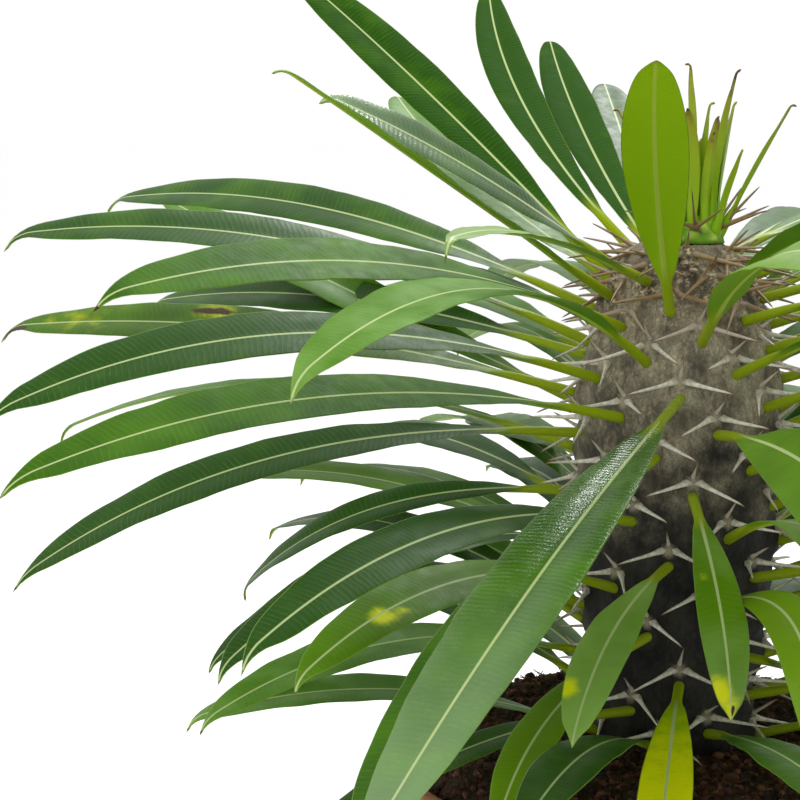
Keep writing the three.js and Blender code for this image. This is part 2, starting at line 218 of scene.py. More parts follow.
def new_tree(name: str, source: str, numbers: dict[str, float]) -> tuple[Wiring, bpy.types.NodeOutputs]:
    """Starts a Geometry Nodes tree that takes a geometry, numbers and a material and gives a geometry.

    Args:
        name: Name of the tree.
        source: Name of the geometry input.
        numbers: Default value of each number by its name; a whole number makes a whole-number input.

    Returns:
        The wiring of the tree and the sockets of its inputs.
    """
    group = bpy.data.node_groups.new(name, "GeometryNodeTree")
    group.interface.new_socket(name=source, in_out="INPUT", socket_type="NodeSocketGeometry")
    for label, default in numbers.items():
        kind = "NodeSocketInt" if isinstance(default, int) else "NodeSocketFloat"
        group.interface.new_socket(name=label, in_out="INPUT", socket_type=kind).default_value = default
    group.interface.new_socket(name="Material", in_out="INPUT", socket_type="NodeSocketMaterial")
    group.interface.new_socket(name="Mesh", in_out="OUTPUT", socket_type="NodeSocketGeometry")
    wiring = Wiring(group)
    return wiring, wiring.add("NodeGroupInput").outputs


def grown(name: str, source: bpy.types.Mesh, group: bpy.types.NodeTree,
          values: dict[str, Any]) -> bpy.types.Object:
    """Runs a Geometry Nodes tree on a mesh and keeps the result as a plain mesh object.

    Args:
        name: Name of the new object.
        source: Mesh that the tree reads.
        group: The tree.
        values: Modifier inputs by name.

    Returns:
        The object, at the origin, with no modifier left.
    """
    piece = bpy.data.objects.new(name, source)
    bpy.context.scene.collection.objects.link(piece)
    modifier = piece.modifiers.new(group.name, "NODES")
    modifier.node_group = group
    for item in group.interface.items_tree:
        if item.in_out == "INPUT" and item.name in values:
            modifier[item.identifier] = values[item.name]
    graph = bpy.context.evaluated_depsgraph_get()
    result = bpy.data.meshes.new_from_object(
        piece.evaluated_get(graph), preserve_all_data_layers=True, depsgraph=graph)
    piece.modifiers.remove(modifier)
    piece.data = result
    result.name = name
    bpy.data.meshes.remove(source)
    return piece


def joined(name: str, pieces: Sequence[bpy.types.Object]) -> bpy.types.Object:
    """Joins mesh objects into one.

    Args:
        name: Name of the result.
        pieces: Objects; the first one takes in the others.

    Returns:
        The joined object.
    """
    first = pieces[0]
    if len(pieces) > 1:
        with bpy.context.temp_override(active_object=first, selected_editable_objects=list(pieces)):
            bpy.ops.object.join()
    first.name = name
    first.data.name = name
    return first


def lathe(name: str, outline: Sequence[tuple[float, float]], steps: int) -> bpy.types.Object:
    """Solid turned round Z from (radius, height) corners in mm that start and end on the axis.

    Args:
        name: Name of the object.
        outline: Corners, bottom first.
        steps: Number of faces round the axis.

    Returns:
        The object.
    """
    mesh = bmesh.new()
    rows = []
    for radius, z in outline:
        if radius < 1e-6:
            rows.append([mesh.verts.new((0.0, 0.0, z * MM))])
            continue
        ring = [outward(2 * math.pi * j / steps) * radius * MM for j in range(steps)]
        rows.append([mesh.verts.new((p.x, p.y, z * MM)) for p in ring])
    for low, high in zip(rows, rows[1:]):
        for j in range(steps):
            k = (j + 1) % steps
            corners = [low[j % len(low)], low[k % len(low)], high[k % len(high)], high[j % len(high)]]
            mesh.faces.new(list(dict.fromkeys(corners)))
    return finished(name, mesh)


def finished(name: str, mesh: bmesh.types.BMesh) -> bpy.types.Object:
    """Turns a bmesh into a smooth-shaded object with its faces outward.

    Args:
        name: Name of the object.
        mesh: The bmesh, which is freed.

    Returns:
        The object, at the origin.
    """
    bmesh.ops.recalc_face_normals(mesh, faces=mesh.faces)
    for face in mesh.faces:
        face.smooth = True
    data = bpy.data.meshes.new(name)
    mesh.to_mesh(data)
    mesh.free()
    piece = bpy.data.objects.new(name, data)
    bpy.context.scene.collection.objects.link(piece)
    return piece


def set_attribute(mesh: bpy.types.Mesh, name: str, values: Sequence[Any]) -> None:
    """Stores one value for each vertex under a name.

    Args:
        mesh: The mesh.
        name: Name of the attribute.
        values: One number or one triple for each vertex.
    """
    single = isinstance(values[0], (int, float))
    layer = mesh.attributes.new(name, "FLOAT" if single else "FLOAT_VECTOR", "POINT")
    if single:
        layer.data.foreach_set("value", list(values))
    else:
        layer.data.foreach_set("vector", [c for v in values for c in v])


def place(piece: bpy.types.Object, slot: Slot, *nodes: str) -> bpy.types.Object:
    """Puts a finished piece on the body, in place of its CAD nodes.

    Args:
        piece: The piece.
        slot: Its slot in the record; not used.
        nodes: CAD nodes that it stands for.

    Returns:
        The piece.
    """
    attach(piece, BODY)
    if nodes:
        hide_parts(*nodes)
    log.info("%s: %d faces", piece.name, len(piece.data.polygons))
    return piece


# ---- Finishes --------------------------------------------------------------------------


class Finish:
    """A surface finish that makes its material once. Subclasses paint it."""

    name = "finish"

    def material(self) -> bpy.types.Material:
        """Makes the finish's material on first use.

        Returns:
            The material.
        """
        known = bpy.data.materials.get(self.name)
        if known:
            return known
        material = bpy.data.materials.new(self.name)
        material.use_nodes = True
        material.node_tree.nodes.clear()
        wiring = Wiring(material.node_tree)
        wiring.add("ShaderNodeOutputMaterial", self.paint(wiring))
        return material

    def paint(self, w: Wiring) -> bpy.types.Node:
        """Adds the nodes of this finish and gives its shader."""
        return w.add(SHADER)

    def dress(self, piece: bpy.types.Object) -> None:
        """Gives a piece this finish alone."""
        piece.data.materials.clear()
        piece.data.materials.append(self.material())


@dataclass(frozen=True)
class WaxyLeaf(Finish):
    """Leaf with a waxy cuticle, grown: satin dark upper side, matt yellow-green underside.

    The eye gets a broad soft sheen broken by fine side veins, a pale midrib and a pale margin.
    """

    name: str = "leaf_waxy_cuticle"
    upper_dark: str = "#224a04"
    upper_light: str = "#4a7809"
    upper_pale: str = "#86ad5c"
    under: str = "#56830c"
    lit_through: str = "#8cb007"
    vein: str = "#8fa84e"
    rib_upper: str = "#b3c285"
    rib_under: str = "#a3b547"
    stalk: str = "#879a12"
    margin: str = "#7a9a3c"
    yellow: str = "#dbdf0c"
    brown: str = "#43301a"
    vein_spacing_mm: float = 2.6
    vein_slant: float = 0.3  # how far a side vein runs forward for each mm across
    vein_strength: float = 0.16
    rib_half_mm: tuple[float, float] = (0.65, 0.25)  # half width of the pale midrib at the foot and the tip
    rib_wider_below: float = 1.7
    bloom_and_sheen: str = "#a9c795"  # painted sheen: pale grey-green painted on the outer part of a shiny leaf
    patch_mm: float = 26.0  # size of the soft lighter and darker areas
    waver_mm: float = 9.0  # size of the wavering of the side veins
    broken_mm: float = 6.0  # size of the parts in which they fade
    ragged_mm: float = 7.0  # size of the uneven borders of yellow and brown parts
    cell_mm: float = 1.2
    gloss_reach: tuple[float, float, float] = (0.41, 0.5, 0.22)  # smooth and matt areas, cut on shiny leaves
    reflection: tuple[float, float] = (0.02, 0.34)  # specular level of dull and of shiny leaves

    def paint(self, w: Wiring) -> bpy.types.Node:
        """Adds ribs, veins, margin, stalk, yellowing and browning by the leaf's own attributes.

        Args:
            w: Wiring of the material's tree.

        Returns:
            The shader.
        """
        spot = w.add(STRETCHED, w.add(ATTRIBUTE, attribute_name="leaf_place").outputs["Vector"],
                     (1000.0, 1000.0, 1.0))
        axes = w.add(SPLIT, spot)
        across = w.add(SIZE, axes.outputs["X"])
        along, face = axes.outputs["Y"], axes.outputs["Z"]
        shares = w.add(SPLIT, w.add(ATTRIBUTE, attribute_name="leaf_share").outputs["Vector"])
        share, tone = shares.outputs["Y"], shares.outputs["Z"]
        edge = w.add(SIZE, shares.outputs["X"])
        wear_and_glow = w.add(SPLIT, w.add(ATTRIBUTE, attribute_name="leaf_wear_and_glow").outputs["Vector"])
        shine = w.add(ATTRIBUTE, attribute_name="leaf_shine").outputs["Fac"]
        here = w.add(PLACE).outputs["Object"]
        upper = w.add(RANGE, face, -0.08, 0.08)

        # Soft patches, and the whole leaf lighter or darker by its own draw.
        patches = w.add(NOISE, here, into={"Scale": 1000 / self.patch_mm, "Detail": 3.0})
        mix = w.add(PLUS, patches.outputs[0], w.add(MINUS, tone, 0.5))
        fresh = w.add(RANGE, mix, 0.2, 0.8)
        top = w.add(BLEND, fresh, linear(self.upper_dark), linear(self.upper_light))
        top = w.add(BLEND, w.add(RANGE, mix, 0.9, 1.6), top, linear(self.upper_pale))
        # Painted sheen: the outer part of a shiny leaf is painted pale grey-green.
        painted_sheen = w.add(TIMES, w.add(RANGE, share, 0.55, 0.95, 0.0, 0.34), w.add(LARGER, shine, 0.0))
        top = w.add(BLEND, painted_sheen, top, linear(self.bloom_and_sheen))
        base = w.add(BLEND, upper, linear(self.under), top)
        # Painted light: the glow share turns the leaf towards the light green of a leaf lit from behind.
        base = w.add(BLEND, wear_and_glow.outputs["Z"], base, linear(self.lit_through))

        # Side veins: stripes across the leaf that run slightly forward, waver and fade in places.
        waver = w.add(NOISE, here, into={"Scale": 1000 / self.waver_mm, "Detail": 2.0})
        slanted = w.add(TIMES_PLUS, across, -self.vein_slant, along)
        shifted = w.add(TIMES_PLUS, waver.outputs[0], 3.0, slanted)
        turns = w.add(DIVIDED, shifted, self.vein_spacing_mm)
        stripe = w.add(MATH, turns, 0.5, operation="PINGPONG")
        vein = w.add(EASED, stripe, 0.36, 0.5)
        broken = w.add(NOISE, here, into={"Scale": 1000 / self.broken_mm, "Detail": 2.0})
        fading = w.add(RANGE, broken.outputs[0], 0.38, 0.66, 0.1, 1.0)
        vein = w.add(TIMES, vein, fading)
        veined = w.add(TIMES, vein, self.vein_strength)
        base = w.add(BLEND, veined, base, linear(self.vein))

        # Yellowing starts between the veins, in patches with soft, uneven borders.
        ragged = w.add(NOISE, here, into={"Scale": 1000 / self.ragged_mm, "Detail": 4.0})
        uneven = w.add(TIMES_PLUS, ragged.outputs[0], 0.6, wear_and_glow.outputs["X"])
        uneven = w.add(TIMES_PLUS, vein, -0.16, uneven)
        yellowed = w.add(EASED, uneven, 0.5, 1.15, 0.0, 0.95)
        base = w.add(BLEND, yellowed, base, linear(self.yellow))

        # Midrib: a pale band that narrows to the tip.
        half = w.add(RANGE, share, 0.1, 1.0, *self.rib_half_mm)
        half = w.add(TIMES, half, w.add(RANGE, upper, 0.0, 1.0, self.rib_wider_below, 1.0))
        outer = w.add(PLUS, half, 0.3)
        band = w.add(EASED, across, half, outer, 0.9, 0.0)
        rib = w.add(BLEND, upper, linear(self.rib_under), linear(self.rib_upper))
        base = w.add(BLEND, band, base, rib)

        # Margin: a thin pale line, from the distance to the edge in mm.
        gap = w.add(MINUS, w.add(DIVIDED, across, edge), across)
        rim = w.add(RANGE, gap, 0.2, 0.5, 0.7, 0.0)
        base = w.add(BLEND, rim, base, linear(self.margin))

        # Stalk, then the browned parts over everything.
        stalky = w.add(EASED, share, 0.10, 0.2, 1.0, 0.0)
        narrow = w.add(RANGE, across, 2.6, 4.2, 1.0, 0.0)
        stalky = w.add(TIMES, stalky, narrow)
        base = w.add(BLEND, stalky, base, linear(self.stalk))
        crisp = w.add(TIMES_PLUS, ragged.outputs[0], 0.5, wear_and_glow.outputs["Y"])
        browned = w.add(RANGE, crisp, 0.62, 0.78)
        base = w.add(BLEND, browned, base, linear(self.brown))

        # Relief of the veins and the cells between them, and the gloss that they break up.
        cells = w.add(CELLS, here, into={"Scale": 1000 / self.cell_mm})
        swell = w.add(EASED, stripe, 0.0, 0.5, 1.0, 0.0)
        pucker = w.add(TIMES, swell, ragged.outputs[0])
        pucker = w.add(TIMES, pucker, 0.45)
        height = w.add(TIMES_PLUS, cells.outputs["Distance"], 0.35, pucker)
        bold = w.add(RANGE, shine, 0.0, 1.0, 0.3, 0.75)
        relief = w.add(BUMP, into={"Strength": bold, "Distance": 0.0004, "Height": height})
        smooth, matt, cut = self.gloss_reach
        gloss = w.add(RANGE, broken.outputs[0], 0.35, 0.65, smooth, matt)
        gloss = w.add(TIMES_PLUS, shine, -cut, gloss)
        rough = w.add(BETWEEN, upper, matt, gloss)
        level = w.add(RANGE, shine, -1.0, 1.0, *self.reflection)
        return w.add(SHADER, into={
            "Base Color": base, "Roughness": rough, "Normal": relief, "IOR": 1.45,
            "Specular IOR Level": level})


@dataclass(frozen=True)
class YoungLeaf(Finish):
    """Tender young leaf, grown: thin yellow-green tissue, olive to amber towards a dry hooked tip."""

    name: str = "leaf_young_tissue"
    foot: str = "#86b016"
    middle: str = "#8fa818"
    flush: str = "#8f8a1c"
    tip: str = "#5a3d1a"
    grain_mm: float = 5.0

    def paint(self, w: Wiring) -> bpy.types.Node:
        """Adds the change of colour along the leaf and a fine grain.

        Args:
            w: Wiring of the material's tree.

        Returns:
            The shader.
        """
        shares = w.add(SPLIT, w.add(ATTRIBUTE, attribute_name="leaf_share").outputs["Vector"])
        share, tone = shares.outputs["Y"], shares.outputs["Z"]
        here = w.add(PLACE).outputs["Object"]
        grain = w.add(NOISE, here, into={"Scale": 1000 / self.grain_mm, "Detail": 3.0})
        mix = w.add(TIMES_PLUS, grain.outputs[0], 0.3, share)
        mix = w.add(TIMES_PLUS, tone, 0.22, mix)
        base = w.add(BLEND, w.add(RANGE, mix, 0.3, 0.8), linear(self.foot), linear(self.middle))
        base = w.add(BLEND, w.add(RANGE, mix, 0.9, 1.2, 0.0, 0.9), base, linear(self.flush))
        base = w.add(BLEND, w.add(RANGE, mix, 1.18, 1.3), base, linear(self.tip))
        relief = w.add(BUMP, into={"Strength": 0.4, "Distance": 0.0002, "Height": grain.outputs[0]})
        return w.add(SHADER, into={
            "Base Color": base, "Roughness": 0.42, "Normal": relief, "IOR": 1.45, "Specular IOR Level": 0.35})


@dataclass(frozen=True)
class Bark(Finish):
    """Thin grey bark over a swollen water-storing stem, grown and weathered.

    The eye gets mottled silver-grey skin with fine wrinkles, crusty pads, painted shade under the cushions
    and near-black bark low down.
    """

    name: str = "bark_grey_weathered"
    pale: str = "#bdb498"
    mid: str = "#857c67"
    dark: str = "#3e3a32"
    near_black: str = "#0e0e10"
    near_black_pale: str = "#2c2b28"
    knob: str = "#a0967f"
    crust_dark: str = "#3a2a1b"
    crust_pale: str = "#cdba90"
    reflection: float = 0.22
    mottle_mm: float = 14.0
    wrinkle_mm: float = 1.8
    net_mm: float = 1.9  # width of a mesh of the net of wrinkles
    warp_mm: float = 6.0  # size of the net's bends
    warp: float = 0.009  # and how far it bends, m
    hollow_shade: float = 0.55
    crumb_mm: float = 2.6  # size of the crumbs of the crust
    blotch_mm: float = 22.0  # size of the tongues of the darkening towards the bottom
    darkening_reach: float = 0.16  # and how far they climb, m
    darkening_top: float = 0.388  # height where the darkening begins to show, m
    darkening_full: float = 0.288  # height below which it covers the bark, m
    crust_from: float = 0.385  # height above which the pads are crusty, m

    def paint(self, w: Wiring) -> bpy.types.Node:
        """Adds mottling, wrinkles, staining by height and pads by their attribute.

        Args:
            w: Wiring of the material's tree.

        Returns:
            The shader.
        """
        here = w.add(PLACE).outputs["Object"]
        flat = w.add("ShaderNodeMapping", into={"Vector": here, "Scale": (1.0, 1.0, 0.55)})
        mottle = w.add(NOISE, flat, into={"Scale": 1000 / self.mottle_mm, "Detail": 6.0, "Roughness": 0.65})
        fine = w.add(NOISE, flat, into={"Scale": 1000 / self.wrinkle_mm, "Detail": 4.0, "Roughness": 0.62})
        mix = w.add(TIMES_PLUS, fine.outputs[0], 0.35, w.add(TIMES, mottle.outputs[0], 0.9))
        base = w.add(BLEND, w.add(RANGE, mix, 0.42, 0.62), linear(self.dark), linear(self.mid))
        base = w.add(BLEND, w.add(RANGE, mix, 0.58, 0.8), base, linear(self.pale))

        # Fine wrinkles cross like a net, and painted shade darkens the hollow under each cushion.
        warp = w.add(NOISE, here, into={"Scale": 1000 / self.warp_mm, "Detail": 4.0})
        upright = w.add(STRETCHED, here, (1.0, 1.0, 0.55))
        bent = w.add(MOVED, w.add(STRETCHED, warp.outputs[1], (self.warp, self.warp, self.warp)), upright)
        net = w.add(CELLS, bent, into={"Scale": 1000 / self.net_mm})
        groove = w.add(RANGE, net.outputs["Distance"], 0.0, 0.2, 0.4, 0.0)
        base = w.add(BLEND, groove, base, linear(self.dark))
        hollow = w.add(ATTRIBUTE, attribute_name="trunk_hollow").outputs["Fac"]
        base = w.add(BLEND, w.add(RANGE, hollow, 0.1, 0.9, 0.0, self.hollow_shade), base, linear(self.dark))

        # The bark turns near black towards the bottom, in uneven tongues, with paler streaks in it.
        height = w.add(SPLIT, here).outputs["Z"]
        blotch = w.add(NOISE, here, into={"Scale": 1000 / self.blotch_mm, "Detail": 5.0, "Roughness": 0.6})
        uneven = w.add(TIMES_PLUS, w.add(MINUS, blotch.outputs[0], 0.5), self.darkening_reach, height)
        darkened = w.add(EASED, uneven, self.darkening_full, self.darkening_top, 0.96, 0.0)
        black = w.add(BLEND, w.add(RANGE, mix, 0.55, 0.85), linear(self.near_black), linear(self.near_black_pale))
        base = w.add(BLEND, darkened, base, black)

        # Pale knobs carry the spines; the pads near the top are brown and crusty.
        knob = w.add(ATTRIBUTE, attribute_name="spine_knob").outputs["Fac"]
        pad = w.add(ATTRIBUTE, attribute_name="trunk_pad").outputs["Fac"]
        rough_knob = w.add(TIMES_PLUS, fine.outputs[0], 0.7, knob)
        base = w.add(BLEND, w.add(RANGE, rough_knob, 0.65, 1.3, 0.0, 0.75), base, linear(self.knob))
        near_top = w.add(RANGE, height, self.crust_from, self.crust_from + 0.02)
        either = w.add(TIMES, w.add(LARGER, knob, pad), near_top)
        crumb = w.add(NOISE, here, into={"Scale": 1000 / self.crumb_mm, "Detail": 4.0, "Roughness": 0.7})
        between = w.add(TIMES, w.add(RANGE, either, 0.0, 0.5, 0.55, 0.0), near_top)
        base = w.add(BLEND, between, base, linear(self.crust_dark))
        dry = w.add(TIMES, w.add(RANGE, crumb.outputs[0], 0.42, 0.56, 0.9, 0.0), either)
        base = w.add(BLEND, dry, base, linear(self.crust_dark))
        chalk = w.add(TIMES, w.add(RANGE, crumb.outputs[0], 0.54, 0.62, 0.0, 0.9), either)
        base = w.add(BLEND, chalk, base, linear(self.crust_pale))

        height = w.add(TIMES_PLUS, groove, -0.5, mix)
        relief = w.add(BUMP, into={"Strength": 0.65, "Distance": 0.0008, "Height": height})
        rough = w.add(RANGE, mix, 0.3, 0.8, 0.62, 0.85)
        return w.add(SHADER, into={
            "Base Color": base, "Roughness": rough, "Normal": relief, "IOR": 1.5,
            "Specular IOR Level": self.reflection})


@dataclass(frozen=True)
class SpineHorn(Finish):
    """Hard woody spine, grown: bone-grey when old, brown when young, with an amber tip."""

    name: str = "spine_woody_horn"
    old: str = "#dcd7c9"
    young: str = "#85673a"
    tip_old: str = "#84492f"
    tip_young: str = "#35201a"
    root: str = "#857a66"
    weather: str = "#8a806b"
    grain_mm: float = 1.8

    def paint(self, w: Wiring) -> bpy.types.Node:
        """Adds the change of colour from root to tip by the spine's own attributes.

        Args:
            w: Wiring of the material's tree.

        Returns:
            The shader.
        """
        share = w.add(ATTRIBUTE, attribute_name="spine_share").outputs["Fac"]
        youth = w.add(ATTRIBUTE, attribute_name="spine_youth").outputs["Fac"]
        here = w.add(PLACE).outputs["Object"]
        grain = w.add(NOISE, here, into={"Scale": 1000 / self.grain_mm, "Detail": 4.0})
        shaft = w.add(BLEND, youth, linear(self.old), linear(self.young))
        tip = w.add(BLEND, youth, linear(self.tip_old), linear(self.tip_young))
        mix = w.add(TIMES_PLUS, grain.outputs[0], 0.16, share)
        base = w.add(BLEND, w.add(RANGE, mix, 0.78, 0.98), shaft, tip)
        foot = w.add(RANGE, mix, 0.08, 0.2, 0.6, 0.0)
        base = w.add(BLEND, foot, base, linear(self.root))
        dull = w.add(RANGE, grain.outputs[0], 0.35, 0.6, 0.45, 0.0)
        base = w.add(BLEND, dull, base, linear(self.weather))
        relief = w.add(BUMP, into={"Strength": 0.3, "Distance": 0.0002, "Height": grain.outputs[0]})
        return w.add(SHADER, into={"Base Color": base, "Roughness": 0.5, "Normal": relief, "IOR": 1.5})


@dataclass(frozen=True)
class Coir(Finish):
    """Coir potting compost: shredded coconut husk, damp, dark red-brown with paler fibres and lumps."""

    name: str = "soil_coir"
    dark: str = "#1d0f08"
    mid: str = "#54301f"
    light: str = "#8c6245"
    crumb_mm: float = 3.0

    def paint(self, w: Wiring) -> bpy.types.Node:
        """Adds crumbs of several browns; each loose crumb has its own tone.

        Args:
            w: Wiring of the material's tree.

        Returns:
            The shader.
        """
        here = w.add(PLACE).outputs["Object"]
        tone = w.add(ATTRIBUTE, attribute_name="crumb_tone").outputs["Fac"]
        crumbs = w.add(NOISE, here, into={"Scale": 1000 / self.crumb_mm, "Detail": 6.0, "Roughness": 0.7})
        mix = w.add(TIMES_PLUS, tone, 0.34, crumbs.outputs[0])
        base = w.add(BLEND, w.add(RANGE, mix, 0.4, 0.72), linear(self.dark), linear(self.mid))
        base = w.add(BLEND, w.add(RANGE, mix, 0.7, 0.95), base, linear(self.light))
        relief = w.add(BUMP, into={"Strength": 0.9, "Distance": 0.001, "Height": crumbs.outputs[0]})
        return w.add(SHADER, into={"Base Color": base, "Roughness": 0.88, "Normal": relief, "IOR": 1.4})


@dataclass(frozen=True)
class FiredClay(Finish):
    """Unglazed terracotta, thrown and fired: matt orange-brown, faint throwing rings, mineral bloom."""

    name: str = "pot_terracotta"
    body: str = "#b5694a"
    warm: str = "#a35539"
    bloom_and_sheen: str = "#cfa58c"
    ring_mm: float = 5.0
    cloud_mm: float = 60.0  # size of the unevenly fired areas
    film_mm: float = 22.0  # size of the spots of bloom
    grain_mm: float = 0.9

    def paint(self, w: Wiring) -> bpy.types.Node:
        """Adds throwing rings, uneven firing, sand grain and bloom.

        Args:
            w: Wiring of the material's tree.

        Returns:
            The shader.
        """
        here = w.add(PLACE).outputs["Object"]
        cloud = w.add(NOISE, here, into={"Scale": 1000 / self.cloud_mm, "Detail": 5.0})
        base = w.add(BLEND, w.add(RANGE, cloud.outputs[0], 0.35, 0.65), linear(self.warm), linear(self.body))
        film = w.add(NOISE, here, into={"Scale": 1000 / self.film_mm, "Detail": 8.0, "Roughness": 0.7})
        base = w.add(BLEND, w.add(RANGE, film.outputs[0], 0.52, 0.78, 0.0, 0.6), base, linear(self.bloom_and_sheen))
        grain = w.add(NOISE, here, into={"Scale": 1000 / self.grain_mm, "Detail": 2.0})
        height = w.add(SPLIT, here).outputs["Z"]
        drift = w.add(TIMES_PLUS, cloud.outputs[0], 0.006, height)
        rings = w.add(MATH, w.add(TIMES, drift, 2 * math.pi * 1000 / self.ring_mm), operation="SINE")
        relief = w.add(BUMP, into={
            "Strength": 0.5, "Distance": 0.0003,
            "Height": w.add(TIMES_PLUS, grain.outputs[0], 0.8, rings)})
        rough = w.add(RANGE, film.outputs[0], 0.3, 0.7, 0.78, 0.92)
        return w.add(SHADER, into={"Base Color": base, "Roughness": rough, "Normal": relief, "IOR": 1.5})


@dataclass(frozen=True)
class GreenTip(Finish):
    """Soft living skin of the growing tip, grown: fresh green with paler knobs."""

    name: str = "crown_green_skin"
    green: str = "#5b8a12"
    pale: str = "#a3c046"
    grain_mm: float = 2.0

    def paint(self, w: Wiring) -> bpy.types.Node:
        """Adds paler knobs by their attribute and a fine grain.

        Args:
            w: Wiring of the material's tree.

        Returns:
            The shader.
        """
        here = w.add(PLACE).outputs["Object"]
        knob = w.add(ATTRIBUTE, attribute_name="trunk_pad").outputs["Fac"]
        grain = w.add(NOISE, here, into={"Scale": 1000 / self.grain_mm, "Detail": 4.0})
        mix = w.add(TIMES_PLUS, grain.outputs[0], 0.6, knob)
        base = w.add(BLEND, w.add(RANGE, mix, 0.35, 1.2), linear(self.green), linear(self.pale))
        relief = w.add(BUMP, into={"Strength": 0.5, "Distance": 0.0003, "Height": grain.outputs[0]})
        return w.add(SHADER, into={
            "Base Color": base, "Roughness": 0.5, "Normal": relief, "IOR": 1.45, "Specular IOR Level": 0.3})


# ---- Spiral and trunk surface ----------------------------------------------------------


@dataclass(frozen=True)
class Spiral:
    """Lattice of leaf cushions: each next one turns by the golden angle and stands a little higher."""

    first: int = -68
    last: int = 35
    start_deg: float = 1.0
    golden_deg: float = 137.508
    height: float = 162.3
    step: float = 1.91
    slowing: float = 0.0079
    lowest: float = 3.2

    def places(self) -> range:
        """Numbers of all places, lowest first."""
        return range(self.first, self.last + 1)

    def azimuth(self, n: int) -> float:
        """Azimuth of place n in radians."""
        return math.radians(self.start_deg - self.golden_deg * n)

    def level(self, n: int) -> float:
        """Height of place n above the soil, mm."""
        return max(self.lowest, self.height + self.step * n - self.slowing * n * n)


SPIRAL = Spiral()


@dataclass(frozen=True)
class TrunkShape:
    """Outline of the trunk and its raised cushions, mm above the soil."""

    outline: tuple[tuple[float, float], ...] = (
        (-60, 30), (-30, 34.5), (0, 36.5), (20, 36), (60, 41), (100, 44.2), (140, 45), (160, 44.3),
        (180, 39.5), (200, 34.5), (215, 27.5), (226, 20),
    )
    pad_rise: float = 3.2
    pad_reach: float = 8.0
    pad_below: float = 1.5
    knob_rise: tuple[float, float] = (1.5, 3.4)  # rise of a spine's knob low on the trunk and at its top
    knob_reach: float = 3.5
    knob_above: float = 7.0
    hollow_below: float = 11.0
    hollow_reach: float = 6.0
    hollow_depth: float = 0.8

    @property
    def top(self) -> float:
        """Height of the flat top."""
        return self.outline[-1][0]

    def radius(self, height: float) -> float:
        """Radius of the trunk without cushions at a height."""
        for (z0, r0), (z1, r1) in zip(self.outline, self.outline[1:]):
            if height <= z1:
                return lerp(r0, r1, min(1.0, max(0.0, (height - z0) / (z1 - z0))))
        return self.outline[-1][1]

    def hill(self, azimuth: float, height: float, offset: float, reach: float) -> float:
        """Height from 0 to 1 of the nearest of the bell-shaped hills on the spiral.

        Args:
            azimuth: Azimuth of the point, radians.
            height: Height of the point.
            offset: Height of each hill above its place.
            reach: Radius at which a hill has fallen to 1/e.

        Returns:
            Share of the full rise.
        """
        share = 0.0
        radius = self.radius(height)
        for n in SPIRAL.places():
            up = height - (SPIRAL.level(n) + offset)
            if abs(up) > 3 * reach:
                continue
            along = math.remainder(azimuth - SPIRAL.azimuth(n), 2 * math.pi) * radius
            if abs(along) < 3 * reach:
                share = max(share, math.exp(-(along * along + up * up) / reach ** 2))
        return share

    def pad(self, azimuth: float, height: float) -> float:
        """Share of the full cushion rise at a point."""
        return self.hill(azimuth, height, -self.pad_below, self.pad_reach)

    def knob(self, azimuth: float, height: float) -> float:
        """Share of the rise of the small knobs that carry the spines."""
        return self.hill(azimuth, height, self.knob_above, self.knob_reach)

    def hollow(self, azimuth: float, height: float) -> float:
        """Share of the depth of the hollows under the cushions, and of their painted shade."""
        return self.hill(azimuth, height, -self.hollow_below, self.hollow_reach)

    def point(self, azimuth: float, height: float) -> Vector:
        """Point on the trunk with its cushions, metres."""
        return at(self.radius(height) + self.pad_rise * self.pad(azimuth, height), azimuth, height)


TRUNK = TrunkShape()


# ---- Leaf rule -------------------------------------------------------------------------


@dataclass(frozen=True)
class Habit:
    """How one leaf is held: degrees and millimetres."""

    turn: float
    bend: float
    rise: float
    droop: float
    length: float
    roll: float
    width: float


